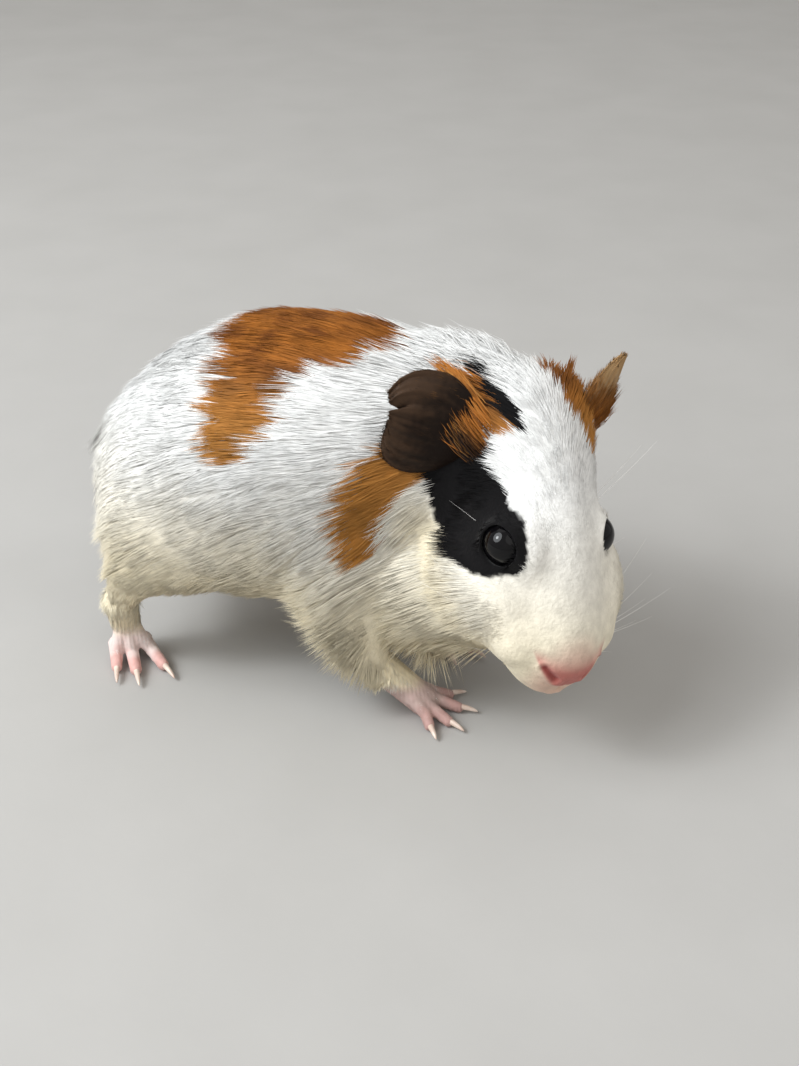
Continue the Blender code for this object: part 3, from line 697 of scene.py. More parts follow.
def tube_mesh(name, path, radii, sides=8, closed=False, up=None):
    """A tube along a path of points in millimetres, with one radius for each point."""
    path = np.asarray(path, float)
    radii = np.asarray(radii, float)
    count = len(path)
    if closed:
        ahead = unit(np.roll(path, -1, axis=0) - np.roll(path, 1, axis=0))
    else:
        ahead = unit(np.gradient(path, axis=0))
    reference = np.array(up if up is not None else (0.13, 0.21, 0.97))
    side_way = unit(np.cross(ahead, reference))
    top_way = np.cross(side_way, ahead)
    angles = np.arange(sides) * 2 * math.pi / sides
    ring = rings_round(side_way, top_way, angles)
    points = (path[:, None, :] + ring * radii[:, None, None]).reshape(-1, 3)
    faces = ring_faces(count, sides, closed)
    if not closed:
        points = np.vstack((points, path[0], path[-1]))
        first, last = count * sides, count * sides + 1
        for i in range(sides):
            k = (i + 1) % sides
            faces.append((first, i, k))
            faces.append((last, (count - 1) * sides + k, (count - 1) * sides + i))
    mesh = mesh_from_triangles(name, points, np.array(faces))
    face_outward(mesh)
    return mesh


# %% Lid rims
LID_HALF_WIDTH = 4
LID_HALF_HEIGHT = 3.7
LID_POINTS = 72
LID_FINISH = {RIGHT: LID_SKIN, LEFT: PALE_LID_SKIN_AND_SHINE}


def lid_path(side, start=0, end=2 * math.pi, lift=0, size=1):
    """Points of an oval on the eyeball, from the front corner over the top."""
    outward = np.array(EYE_OUTWARD[side])
    along = unit(np.array(FORWARD) - outward * (np.array(FORWARD) @ outward))
    above = np.cross(outward, along) * side
    angles = np.linspace(start, end, LID_POINTS, endpoint=end - start < 2 * math.pi)
    across = np.cos(angles)[:, None] * along * LID_HALF_WIDTH * size
    across = across + np.sin(angles)[:, None] * above * LID_HALF_HEIGHT * size
    height = np.sqrt(np.maximum(0, EYE_RADIUS ** 2 - (across ** 2).sum(axis=1)))
    radial = across + outward * height[:, None]
    return eye_centres[side] + unit(radial) * (EYE_RADIUS + lift), angles


def make_lid(side):
    path, angles = lid_path(side, lift=0.22, size=1.05)
    radii = 0.27 + 0.10 * np.abs(np.sin(angles)) + 0.04 * np.sin(7 * angles)
    mesh = tube_mesh("lid", path, radii, 10, closed=True, up=EYE_OUTWARD[side])
    return add_piece(f"lid_rim_{SIDE_NAMES[side]}", mesh, "bare_skin", LID_FINISH[side])


# A thin tube along the lower lid, paler than the rim: the pale colour is a painted reflection on the wet
# lid edge.
def make_painted_shine_edge(side):
    path, _ = lid_path(side, math.pi * 1.12, math.pi * 1.85, lift=0.16, size=0.94)
    radii = 0.20 * np.sin(np.linspace(0.12, math.pi - 0.12, LID_POINTS))
    mesh = tube_mesh("painted_shine_edge", path, radii, 8, up=EYE_OUTWARD[side])
    return add_piece(f"lid_edge_{SIDE_NAMES[side]}", mesh, "bare_skin", PALE_LID_SKIN_AND_SHINE)


lids = [make(side) for side in SIDES for make in (make_lid, make_painted_shine_edge)]
print("lid pieces", len(lids))

# %% [markdown]
# ## Ears
# Each ear is a thin, nearly bare flap, cupped and wavy, with a frayed rim. The CAD ear is this
# shape with few faces, so the same sheet is laid out again with a fine grid, given fine ridges and
# a rim that thins out, and rooted in the skin. The right ear is dark brown and notched; the left
# one is ginger at its base and sandy at its tip.

# %% Ear shape
EAR_ROOT = {RIGHT: (-20.6, 16, 5.4), LEFT: (-21, 15, 3)}
EAR_ALONG = {RIGHT: (-0.50, 0.05, 0.86), LEFT: (0.00, -0.50, 0.85)}
EAR_OUTWARD = {RIGHT: (-0.33, 0.93, 0.11), LEFT: (-0.55, 0.35, 0.75)}
EAR_HALF_WIDTH = 10.2
EAR_REACH = {RIGHT: 12.6, LEFT: 15.2}
EAR_SINK = 8
EAR_CUP = 2.6
EAR_NOTCH = {RIGHT: 0.23, LEFT: 0}
EAR_NOTCH_PLACE = 0.36
EAR_NOTCH_WIDTH = 0.10
EAR_SLANT = {RIGHT: 0.12, LEFT: 0}
EAR_TAPER = {RIGHT: (4.2, 0.38), LEFT: (1.8, 0.85)}
EAR_ROOT_WIDTH = 0.45
EAR_NARROWEST = -0.35
EAR_WIDEST = 0.45
EAR_COLUMNS = 96
EAR_ROWS = 64
EAR_RIM = 0.22


def ear_frame(side):
    along = head_direction(EAR_ALONG[side], side)
    outward = head_direction(EAR_OUTWARD[side], side)
    along = (along - outward * along.dot(outward)).normalized()
    return in_head(EAR_ROOT[side], side), along, outward, along.cross(outward) * side


def ear_sheet(side):
    """The middle surface of the ear: points, and how far across and out each one is."""
    root, along, outward, hollow = (np.array(vector) for vector in ear_frame(side))
    farthest = EAR_REACH[side]
    taper, roundness = EAR_TAPER[side]
    lowest = -EAR_SINK / farthest
    across, reach = np.meshgrid(np.linspace(-1, 1, EAR_COLUMNS + 1),
                                np.linspace(lowest, 0.985, EAR_ROWS + 1))
    across, reach = across.ravel(), reach.ravel()
    beyond = np.maximum(0, reach)
    opened = np.clip((reach - EAR_NARROWEST) / (EAR_WIDEST - EAR_NARROWEST), 0, 1)
    swell = EAR_ROOT_WIDTH + (1 - EAR_ROOT_WIDTH) * np.sin(opened * math.pi / 2)
    lobe = (1 - beyond ** taper) ** roundness
    width = lobe * swell
    notch = EAR_NOTCH[side] * np.exp(-((across - EAR_NOTCH_PLACE) / EAR_NOTCH_WIDTH) ** 2)
    frayed = 0.012 * np.sin(across * 31) + 0.010 * np.sin(across * 57 + 1)
    length = reach * (1 + (EAR_SLANT[side] * across - notch - frayed) * beyond ** 3)
    places = root + np.outer(across * width * EAR_HALF_WIDTH, along)
    places = places + np.outer(length * farthest, outward)
    cup = EAR_CUP * (across * across * (0.35 + 0.65 * beyond) * np.sqrt(lobe) - 0.35)
    ripple = 0.20 * np.sin(across * 15 + 2 * reach) * beyond + 0.07 * np.sin(across * 38) * beyond
    return places + np.outer(cup + ripple, hollow), across, reach


# %% Ear mesh
EAR_DARK = np.array((0.012, 0.007, 0.005))
EAR_BROWN = np.array((0.060, 0.034, 0.020))
EAR_GINGER = np.array((0.34, 0.16, 0.07))
EAR_SANDY = np.array((0.40, 0.25, 0.12))
EAR_SLOT = {RIGHT: "dark_ear", LEFT: "ginger_ear"}


def split_quads(*corners):
    """Two triangles for each four-sided face, from the point numbers at its corners."""
    a, b, c, d = (corner.ravel() for corner in corners)
    return np.vstack((np.stack((a, b, c), axis=1), np.stack((a, c, d), axis=1)))


def ear_colour(side, places, across, reach):
    speckle = noise_at(places, 0.9, 3)
    # The right ear is darkest at its base and middle, over the hollow and opening of the ear: partly its
    # own dark skin, partly painted shade.
    if side == RIGHT:
        streak = noise_at(np.stack((across * 9, reach * 1.5, 0 * reach), axis=1), 1, 8)
        part = ramp(0.2, 1.1, reach + 0.15 * speckle + 0.25 * np.abs(across) + 0.35 * streak)
        return mix(EAR_DARK, EAR_BROWN, part)
    return mix(EAR_GINGER, EAR_SANDY, ramp(0.1, 0.7, reach + 0.25 * speckle))


def make_ear(side):
    places, across, reach = ear_sheet(side)
    index = np.arange(len(places)).reshape(EAR_ROWS + 1, EAR_COLUMNS + 1)
    triangles = split_quads(index[:-1, :-1], index[:-1, 1:], index[1:, 1:], index[1:, :-1])
    sheet = mesh_from_triangles("ear_sheet", places, triangles)
    _, normals, _ = mesh_arrays(sheet)
    rim = np.minimum(1 - np.abs(across), 0.985 - reach)
    thickness = EAR_RIM + 0.55 * ramp(0, 0.35, rim) + 0.5 * ramp(0.3, -0.2, reach)
    front = places + normals * thickness[:, None] / 2
    back = places - normals * thickness[:, None] / 2
    border = np.concatenate((index[0, :], index[1:, -1], index[-1, -2::-1], index[-2:0:-1, 0]))
    after = np.roll(border, -1)
    total = len(places)
    walls = split_quads(border, border + total, after + total, after)
    mesh = mesh_from_triangles("ear", np.vstack((front, back)),
                               np.vstack((triangles, triangles[:, ::-1] + total, walls)))
    face_outward(mesh)
    colour = ear_colour(side, places, across, reach)
    paint(mesh, np.vstack((colour, colour)))
    name = SIDE_NAMES[side]
    return add_piece(f"ear_flap_{name}", mesh, EAR_SLOT[side], EAR_SKIN, f"ear_{name}")


ears = {side: make_ear(side) for side in SIDES}
print("ears", [len(ear.data.polygons) for ear in ears.values()])

# %% [markdown]
# ## Feet and claws
# The toes are bare and pink, three long ones behind and four short ones in front, each with a
# pale curved claw. Limbs of small balls give the bones and pads, a voxel remesh melts them into
# one skin, as a potter would smooth clay, and thin tapering tubes that bend down make the claws.

# %% Foot measures
FEET = {
    ("hind", RIGHT): ((-46.4, -17.6, 15), (-47.2, -14.6, 3.4), -52),
    ("hind", LEFT): ((-34.6, 21, 15), (-31.5, 21.4, 3.4), 16),
    ("fore", RIGHT): ((9.6, -15.4, 11), (17.6, -12.8, 2.8), -1),
    ("fore", LEFT): ((6.7, 14.9, 11), (14.2, 12.2, 2.8), -8),
}
TOES = {
    "hind": ((-17, 9, -3), (2, 8.8, 0), (9, 6.4, 3)),
    "fore": ((-46, 4.6, -2.6), (-10, 6.6, -1.1), (18, 6.4, 1.1), (50, 4.4, 2.6)),
}
TOE_RADIUS = {"hind": 1.75, "fore": 1.55}
CLAW_LENGTH = {"hind": 4.2, "fore": 3.2}
CLAW_RADIUS = 0.62
CLAW_ROOT = 0.9
INSTEP_RADII = {"hind": (3.7, 3.3, 3.8), "fore": (3.5, 3.3, 4.2)}
FOOT_VOXEL = 0.26
KNUCKLE_SHARE = 0.35
KNUCKLE_HEIGHT = 2.35
TOE_TAPER = (0.98, 0.86, 0.74)


def level_way(degrees):
    angle = math.radians(degrees)
    return Vector((math.cos(angle), math.sin(angle), 0))


# %% Toes and pads
# The fore feet's colours are darker than the hind feet's: painted shade under the head and chest.
FOOT_PALE = {"hind": np.array((0.76, 0.63, 0.59)), "fore": np.array((0.52, 0.385, 0.35))}
TOE_ROSE = {"hind": np.array((0.68, 0.40, 0.36)), "fore": np.array((0.50, 0.31, 0.28))}


def foot_plan(kind, side):
    """The ankle, the root of the foot, and the start, direction and length of each toe."""
    ankle, root, heading = FEET[(kind, side)]
    ankle, root = Vector(ankle) + ROW_SHIFT, Vector(root) + ROW_SHIFT
    across, ahead = level_way(heading + 90), level_way(heading)
    toes = [(root + across * shift * side + ahead, level_way(heading + turn * side), length)
            for turn, length, shift in TOES[kind]]
    return ankle, root, toes


def make_foot(kind, side):
    ankle, root, toes = foot_plan(kind, side)
    top, waist, bottom = INSTEP_RADII[kind]
    radius = TOE_RADIUS[kind]
    bm = bmesh.new()
    add_limb(bm, ((*ankle, top), (*ankle.lerp(root, 0.55), waist), (*root, bottom * 0.78)))
    for start, ahead, length in toes:
        knuckle = start + ahead * length * KNUCKLE_SHARE
        tip = start + ahead * (length - radius * 0.45)
        knuckle.z, tip.z = KNUCKLE_HEIGHT, radius * 0.82
        add_limb(bm, [(*place, radius * share) for place, share in zip((start, knuckle, tip), TOE_TAPER)])
        add_limb(bm, ((*ankle.lerp(root, 0.5), waist * 0.7), (*knuckle, radius * 0.8)))
    mesh = reshaped(from_bmesh(bm, "foot"), 5, FOOT_VOXEL)
    places, normals, _ = mesh_arrays(mesh)
    upright = ramp(0.9, 0.4, np.abs(normals[:, 2]))
    creases = 0.10 * np.sin(places[:, 0] * 3.1 + places[:, 1] * 2.3) * upright
    places -= normals * np.abs(creases)[:, None]
    places[:, 2] = np.maximum(places[:, 2], 0)
    move_points(mesh, places)
    mesh.shade_smooth()
    tips = [np.array(start + ahead * length) for start, ahead, length in toes]
    rosy = np.min([away_from(places, tip) for tip in tips], axis=0)
    rosy = np.maximum(ramp(5, 2, rosy), ramp(-0.3, -0.7, normals[:, 2]))
    rosy = np.clip(rosy + 0.3 * noise_at(places, 1.4, 7), 0, 1)
    colour = mix(FOOT_PALE[kind], TOE_ROSE[kind], rosy)
    paint(mesh, mix(colour, CREAM, 0.9 * ramp(6, 9.5, places[:, 2])))
    name = f"{kind}foot_{SIDE_NAMES[side]}"
    return add_piece(f"{name}_skin", mesh, "bare_skin", FOOT_SKIN, name)


# %% Claws
def make_claws(kind, side):
    _, _, toes = foot_plan(kind, side)
    parts = np.linspace(0, 1, 14)
    drops = 0.75 * parts ** 2.2
    radii = CLAW_RADIUS * np.sqrt(np.maximum(0.015, 1 - parts ** 1.7))
    claws = []
    for number, (start, ahead, length) in enumerate(toes, 1):
        tip = start + ahead * (length - CLAW_ROOT)
        path = np.array([tip + ahead * (CLAW_LENGTH[kind] + CLAW_ROOT) * part for part in parts])
        path[:, 2] = TOE_RADIUS[kind] * 0.98 - drops
        mesh = tube_mesh("claw", path, radii, 12)
        claws.append(add_piece(f"claw_{kind}_{SIDE_NAMES[side]}_{number}", mesh, "claw", HORN))
    return claws


feet = {key: make_foot(*key) for key in FEET}
claws = [claw for key in FEET for claw in make_claws(*key)]
print("feet", [len(foot.data.polygons) for foot in feet.values()], "claws", len(claws))

# %% [markdown]
# ## How the coat is grown
# Blender could grow particle hair, but a library part has to be plain mesh, so each tuft is a thin
# closed spike with three sides. The steps are those of a taxidermist: choose where the tufts
# stand, comb them, decide how long and how raised they are, and let neighbours lean together in
# locks. Roots are spread over the skin by area, with a seeded random draw inside each share.


# %% Spread the roots
def scatter(surface, density, seed):
    """Places and normals of roots; density gives tufts per square millimetre at face middles."""
    points, normals, triangles = surface
    corners = points[triangles]
    middles = corners.mean(axis=1)
    crossed = np.cross(corners[:, 1] - corners[:, 0], corners[:, 2] - corners[:, 0])
    area = np.linalg.norm(crossed, axis=1) / 2
    expected = np.cumsum(area * density(middles, unit(crossed)))
    draw = np.random.default_rng(seed)
    count = int(expected[-1])
    ticks = np.minimum((np.arange(count) + draw.random(count)), expected[-1] - 1e-6)
    chosen = np.minimum(np.searchsorted(expected, ticks), len(triangles) - 1)
    u, v = draw.random(count), draw.random(count)
    folded = u + v > 1
    u[folded], v[folded] = 1 - u[folded], 1 - v[folded]
    weights = np.stack((1 - u - v, u, v), axis=1)[:, :, None]
    places = (corners[chosen] * weights).sum(axis=1)
    return places, unit((normals[triangles[chosen]] * weights).sum(axis=1))


# %% [markdown]
# The lie of the coat runs from the nose up over the face, back along the body and down on the
# rump and legs. It is written as a direction for each region, blended where they meet, laid flat
# on the skin, and disturbed by two sizes of noise so that it flows in soft waves.


# %% Comb the coat
def laid_flat(way, normals):
    """Directions laid flat on the surface at each root."""
    return unit(way - normals * (way * normals).sum(axis=1, keepdims=True))


def wander(places, scale, shifts):
    """Directions that wander from place to place."""
    return np.stack([noise_at(places, scale, shift) for shift in shifts], axis=1)


def lie_of_coat(places, normals):
    """The direction in which the hair lies at each root, flat on the skin."""
    head = head_coordinates(places)
    ahead, aside, up = head.T
    x, _, z = places.T
    leg = ramp(26, 15, z) * np.maximum(ramp(-34, -40, x), ramp(0, 8, x))
    falling = np.maximum(ramp(-34, -54, x), leg)
    flank = ramp(66, 40, z)
    body = np.stack((-1 + 0.75 * falling, np.zeros_like(x), -0.12 - 0.42 * flank - falling), axis=1)
    body = mix(body, np.array((-0.35, 0, -1)), ramp(24, 40, x))
    cheek = ramp(3, 13, np.abs(aside)) * ramp(12, -2, ahead * 0.6 + up)
    crown = ramp(-4, -14, ahead) * ramp(-2, 8, up)
    outward = (0.12 + 0.72 * crown) * np.clip(aside / 4, -1, 1)
    jaw = ramp(-3, -11, up) * cheek
    face = np.stack((-np.ones_like(x), outward, 0.3 * crown - 1.5 * cheek - 1.2 * jaw), axis=1) @ TO_HEAD
    face = mix(face, np.array((-1, -0.1, -0.55)), ramp(-9, -17, up))
    way = mix(unit(body), unit(face), headness(head))
    calm = 1 - 0.6 * headness(head)[:, None]
    stir = 0.26 * wander(places, 7, (11, 23, 37)) + 0.10 * wander(places, 2, (4, 14, 41))
    return laid_flat(way + calm * stir, normals)


# %% [markdown]
# Locks are found with a search tree: a few roots lead, and each of the others leans its tip to
# the nearest leader's. The lead tuft and the group share a small change of tone, so the coat has
# light and dark strands as real fur has.


# %% Gather locks
def gather(places, share, seed):
    """For each root the number of the leading root of its lock."""
    draw = np.random.default_rng(seed)
    leaders = np.sort(draw.choice(len(places), max(1, int(len(places) * share)), replace=False))
    tree = KDTree(len(leaders))
    for number in leaders:
        tree.insert(Vector(places[number]), int(number))
    tree.balance()
    return np.array([tree.find(Vector(place))[1] for place in places])


# %% Build tufts
RING_ANGLES = np.radians((90, 210, 330))
ROOT_DEPTH = 0.25
SAG = 0.42
FLATNESS = 0.6
# The thickness of a tuft from its root to near its tip, as shares of its width.
TUFT_PROFILE = ((0, 0.3, 0.7, 1), (0.75, 1, 0.72, 0.1))


def strand_paths(roots, way, normals, length, lift, droop, steps):
    """Points along each strand, from just under the skin to the tip."""
    part = np.linspace(0, 1, steps)[None, :, None]
    along = way[:, None, :] * np.cos(lift)[:, None, None]
    rise = normals[:, None, :] * np.sin(lift)[:, None, None]
    reach = length[:, None, None]
    fall = np.array((0, 0, -1)) * droop[:, None, None]
    start = (roots - normals * ROOT_DEPTH)[:, None, :]
    return start + reach * (along * part + rise * (part - SAG * part ** 2) + fall * part ** 2)


def tuft_arrays(paths, width):
    """Points, triangles and outward directions of closed three-sided spikes along the paths."""
    count, steps, _ = paths.shape
    ahead = unit(np.gradient(paths, axis=1))
    across = unit(np.cross(ahead, np.array((0.31, 0.17, 0.93))))
    top = np.cross(ahead, across)
    rings = steps - 1
    profile = np.interp(np.linspace(0, 1, steps)[:-1], *TUFT_PROFILE)
    radius = width[:, None] * profile[None, :] / 2
    ring = rings_round(across[:, :rings], top[:, :rings], RING_ANGLES, FLATNESS)
    points = paths[:, :rings, None, :] + ring * radius[:, :, None, None]
    points = np.concatenate((points.reshape(count, rings * 3, 3), paths[:, -1:, :]), axis=1)
    outward = np.concatenate((ring.reshape(count, rings * 3, 3), ahead[:, -1:, :]), axis=1)
    last = (rings - 1) * 3
    faces = [(0, 2, 1)] + ring_faces(rings, 3)
    faces += [(last + i, last + (i + 1) % 3, rings * 3) for i in range(3)]
    per_tuft = rings * 3 + 1
    triangles = np.array(faces)[None, :, :] + (np.arange(count) * per_tuft)[:, None, None]
    height = np.concatenate((np.repeat(np.arange(rings) / (steps - 1), 3), (1,)))
    return points.reshape(-1, 3), triangles.reshape(-1, 3), unit(outward), height


# %% [markdown]
# For a material to be baked into a picture, every tuft needs its own small patch on a flat map.
# The map is made from the skin's own shape: six sheets, one for each main direction that the
# skin faces, and a tuft gets a patch at the place of its root.

# %% Bake map
PATCH = 0.003
SHEET_COLUMNS = 3
SHEET_ROWS = 2
SHEET_MARGIN = 0.02


def root_map(places, normals):
    """A place on the flat map for each root."""
    axis = np.abs(normals).argmax(axis=1)
    rows = np.arange(len(places))
    sheet = axis * 2 + (normals[rows, axis] > 0)
    low, high = places.min(axis=0), places.max(axis=0)
    part = (places - low) / np.maximum(high - low, 1e-6)
    u = part[rows, (axis + 1) % 3]
    v = part[rows, (axis + 2) % 3]
    inside = 1 - 2 * SHEET_MARGIN
    u = (sheet % SHEET_COLUMNS + SHEET_MARGIN + inside * u) / SHEET_COLUMNS
    v = (sheet // SHEET_COLUMNS + SHEET_MARGIN + inside * v) / SHEET_ROWS
    return np.stack((u, v), axis=1)


def add_bake_map(mesh, triangles, roots_uv, height, per_tuft):
    """Lays every tuft on its patch: rings up the patch, sides across it."""
    corner = triangles.ravel()
    tuft, local = corner // per_tuft, corner % per_tuft
    across = np.where(local == per_tuft - 1, 1, local % 3) / 2
    offset = np.stack((across, height[local]), axis=1) * PATCH
    layer = mesh.uv_layers.new(name="OFBake")
    layer.data.foreach_set("uv", (roots_uv[tuft] + offset).astype(np.float32).ravel())


# %% Grow a part of the coat
MOST_TUFTS = {4: 12200, 3: 19500}
TUFT_ROUNDNESS = 0.18
TIP_ROUNDNESS = 0.45
SEEN_SHARE = 0.5
TONE_LIMITS = (0.55, 1.3)


def tone_of(places, leaders, seed, lock_share, tuft_share):
    """Light and dark tufts: one change for each lock and a smaller one for each tuft."""
    draw = np.random.default_rng(seed)
    lock = draw.normal(0, lock_share, len(places))[leaders]
    own = draw.normal(0, tuft_share, len(places))
    return np.clip(1 + lock + own, *TONE_LIMITS)


def grow_coat(name, roots, seed, length, lift, width, way=None, colour_of=coat_colour, slot="coat",
              steps=3, droop=0, locks=0.06, lean=0.4, stray=0.03, tone=(0.03, 0.03), root_shade=0.9):
    """Tufts on the given roots, split into pieces of a moderate size."""
    places, normals = roots
    count = len(places)
    draw = np.random.default_rng(seed)
    if way is None:
        way = lie_of_coat(places, normals)
    length, lift, width, droop = (np.broadcast_to(value, count).astype(float)
                                  for value in (length, lift, width, droop))
    leaders = gather(places, locks, seed + 1)
    length = length * draw.normal(1, 0.10, count)[leaders] * draw.uniform(0.78, 1.18, count)
    lift = np.radians(lift) * draw.normal(1, 0.12, count)[leaders] * draw.uniform(0.8, 1.2, count)
    paths = strand_paths(places, way, normals, length, lift, droop, steps)
    part = np.linspace(0, 1, steps)[None, :, None]
    paths = paths + (paths[leaders] - paths) * (lean * part ** 1.4)
    bend = draw.normal(0, stray, (count, 1, 3)) * part ** 2
    paths = paths + bend * length[:, None, None]
    points, triangles, outward, height = tuft_arrays(paths, width * draw.uniform(0.8, 1.2, count))
    facing = normals * ramp(-0.6, 0.1, normals[:, 2:])
    rounding = TUFT_ROUNDNESS + TIP_ROUNDNESS * height ** 2
    shading = unit(outward * rounding[None, :, None] + facing[:, None, :])
    per_tuft = (steps - 1) * 3 + 1
    seen = places + way * (length * SEEN_SHARE)[:, None]
    colour = colour_of(seen) * tone_of(places, leaders, seed + 2, *tone)[:, None]
    shade = root_shade + (1 - root_shade) * height ** 0.7
    colours = colour[:, None, :] * shade[None, :, None]
    roots_uv = root_map(places, normals)
    order = np.argsort(places[:, 0], kind="stable")
    pieces = []
    groups = np.array_split(order, max(1, math.ceil(count / MOST_TUFTS[steps])))
    for number, group in enumerate(groups, 1):
        picked = points.reshape(count, per_tuft, 3)[group].reshape(-1, 3)
        kept = triangles[:len(triangles) // count * len(group)]
        mesh = mesh_from_triangles(name, picked, kept)
        paint(mesh, np.clip(colours[group].reshape(-1, 3), 0, 1))
        mesh.normals_split_custom_set_from_vertices(shading[group].reshape(-1, 3).tolist())
        add_bake_map(mesh, kept, roots_uv[group], height, per_tuft)
        pieces.append(add_piece(f"{name}_{number}", mesh, slot, FUR))
    print(name, count, "tufts", len(pieces), "pieces", len(kept), "triangles in the last")
    return pieces


# %% [markdown]
# ## The body's coat
# The body carries the longest tufts, up to ten millimetres on a pup, raised most over the neck,
# where a few stand up like spikes, and hanging a little along the belly and throat. They overlap
# like thatch, so no skin shows.

# %% Body coat
THIN = 1
BODY_DENSITY = 5.9
FACE_DENSITY = (6, 6.2)
LEG_DENSITY = 9.5
SPIKE_FROM = 0.75
SPIKE_LIFT = 34
skin_surface = (points, normals, skin_triangles)


def low_leg(places):
    return ramp(20, 13, places[:, 2])


def body_density(places, _):
    return THIN * BODY_DENSITY * (1 - headness(head_coordinates(places))) * (1 - low_leg(places))


def hackle_lift(places, seed, reach, least):
    """Extra degrees over the neck, where every fourth tuft stands up like a spike."""
    spikes = np.random.default_rng(seed).random(len(places)) > SPIKE_FROM
    return (least + SPIKE_LIFT * spikes) * ramp(reach, reach - 9, away_from(places, HACKLES))


def grow_body():
    places, normals = scatter(skin_surface, body_density, 11)
    x, _, z = places.T
    nape = ramp(34, 26, away_from(head_coordinates(places), HEAD_MIDDLE))
    low = ramp(36, 18, z)
    behind = ramp(-16, -30, x)
    belly = ramp(-0.2, -0.7, normals[:, 2])
    throat = ramp(10, 18, x) * ramp(40, 30, z)
    length = 9.6 - 2.2 * nape - 5.4 * low * behind - 0.5 * belly + throat
    lift = 7.5 + 5 * nape + 5 * belly * (1 - low * behind) + hackle_lift(places, 31, 14, 8)
    return grow_coat("coat_body", (places, normals), 101, length, lift, 0.31 - 0.03 * nape,
                     droop=0.03 + 0.06 * belly + 0.22 * throat, locks=0.035, root_shade=0.92)


grow_body()

# %% [markdown]
# ## The face and the legs
# On the face the hairs are a millimetre or two long and lie almost flat; they lengthen over the
# cheeks toward the neck. On the legs they shorten down to the bare feet.


# %% Face coat
def face_density(places, _):
    head = head_coordinates(places)
    near_eye = ramp(4.35, 4.9, eye_distance(places))
    furred = 1 - ramp(0.1, 0.6, nose_pad(head))
    fine = FACE_DENSITY[0] + FACE_DENSITY[1] * ramp(-14, 8, head[:, 0])
    return THIN * fine * headness(head) * near_eye * furred


def grow_face():
    places, normals = scatter(skin_surface, face_density, 12)
    head = head_coordinates(places)
    ahead, aside, up = head.T
    length = np.interp(ahead, (-28, -12, 2, 12, 20), (6.6, 4.6, 3, 1.9, 0.9))
    length = length * (1 - 0.45 * ramp(9, 5, eye_distance(places)))
    lift = np.interp(ahead, (-28, -12, 6, 20), (15, 10, 7.5, 8)) + hackle_lift(places, 32, 15, 6)
    width = np.interp(ahead, (-28, 0, 20), (0.27, 0.21, 0.15))
    cheek = ramp(7, 12, np.abs(aside)) * ramp(-2, -9, up) * ramp(16, 9, ahead)
    jowl = ramp(-4.5, -9, aside) * ramp(-3.5, -10, up) * ramp(14, 8, ahead) * ramp(-16, -6, ahead)
    chin_side = ramp(-10, -14, up) * ramp(3, 8, ahead)
    tuft = ramp(-0.3, 0.3, chain_depth(head, EAR_TUFT_CHAINS + STREAK_CHAINS + LEFT_EAR_CHAINS))
    chin = ramp(0.1, -0.6, normals[:, 2]) * ramp(8, 2, ahead)
    far_jaw = ramp(-3, 1, aside) * ramp(-6, -10, up) * ramp(-10, -2, ahead)
    length = length + 3.4 * (cheek + jowl) * (1 - chin_side) + 3 * tuft + 2.6 * chin
    length = length * (1 - 0.65 * far_jaw)
    lift = lift + 8 * jowl + 6 * tuft + 14 * chin * (1 - far_jaw)
    lean = np.interp(ahead, (-20, 0), (0.4, 0.12))[:, None, None]
    return grow_coat("coat_face", (places, normals), 201, length, lift, width,
                     droop=0.02 + 0.25 * chin, lean=lean, tone=(0.02, 0.025))


grow_face()

# %% [markdown]
# In front of the right ear a sheaf of long ginger hair with black strands springs up and falls
# over the ear's edge. It has roots of its own and stands up more than the coat around it.

# %% Sheaf over the right ear
SHEAF_WAY = (-0.54, -0.70, 0.47)
SHEAF_ROOTS = (
    ((-31, -12.6, 10.2, 2.4), (-24, -12.4, 10.8, 3), (-18, -12.2, 9.8, 2.8), (-15.2, -14.2, 5.2, 2.4)),
    ((-22.5, -14.8, 8.4, 2.2), (-17.6, -14.6, 7.2, 2.4)),
)
SHEAF_SHADE = np.array((0.020, 0.011, 0.008))
SHEAF_DENSITY = 7


def sheaf_density(places, _):
    return THIN * SHEAF_DENSITY * (chain_depth(head_coordinates(places), SHEAF_ROOTS) > 0)


def sheaf_colour(places):
    ahead, _, up = head_coordinates(places).T
    dark = ramp(0.10, 0.40, noise_at(places, 0.8, 17)) * 0.6
    tone = mix(GOLDEN, GINGER, ramp(-0.4, 0.3, noise_at(places, 2.4, 27)))
    return mix(mix(tone, BLACK * 3, dark), SHEAF_SHADE, ramp(8.6, 6.4, up) * ramp(-24, -20, ahead))


places, normals = scatter(skin_surface, sheaf_density, 16)
way = laid_flat(np.array(head_direction(SHEAF_WAY)), normals)
grow_coat("coat_sheaf", (places, normals), 251, 10.5, 50, 0.24, way, sheaf_colour, steps=4,
          locks=0.10, lean=0.45, stray=0.05, tone=(0.06, 0.06), root_shade=0.85)


# %% Leg coat
def leg_density(places, _):
    return THIN * LEG_DENSITY * low_leg(places) * (1 - headness(head_coordinates(places)))


places, normals = scatter(skin_surface, leg_density, 13)
length = np.interp(places[:, 2], (6, 12, 20), (1.6, 2.6, 4.2))
width = np.interp(places[:, 2], (6, 20), (0.15, 0.24))
grow_coat("coat_legs", (places, normals), 301, length, 12, width, droop=0.04)

# %% [markdown]
# The feet are nearly bare, yet fine white hairs run over their backs to the toes, and the ears
# carry a thin fleece that frays their rims. Both grow straight on the pieces made above.


# %% Hair on the feet
FOOT_FLEECE = {"hind": 8.5, "fore": 5.5}


def ankle_colour(places):
    return mix(WHITE, CREAM, 0.8 * ramp(6, 11, places[:, 2]))


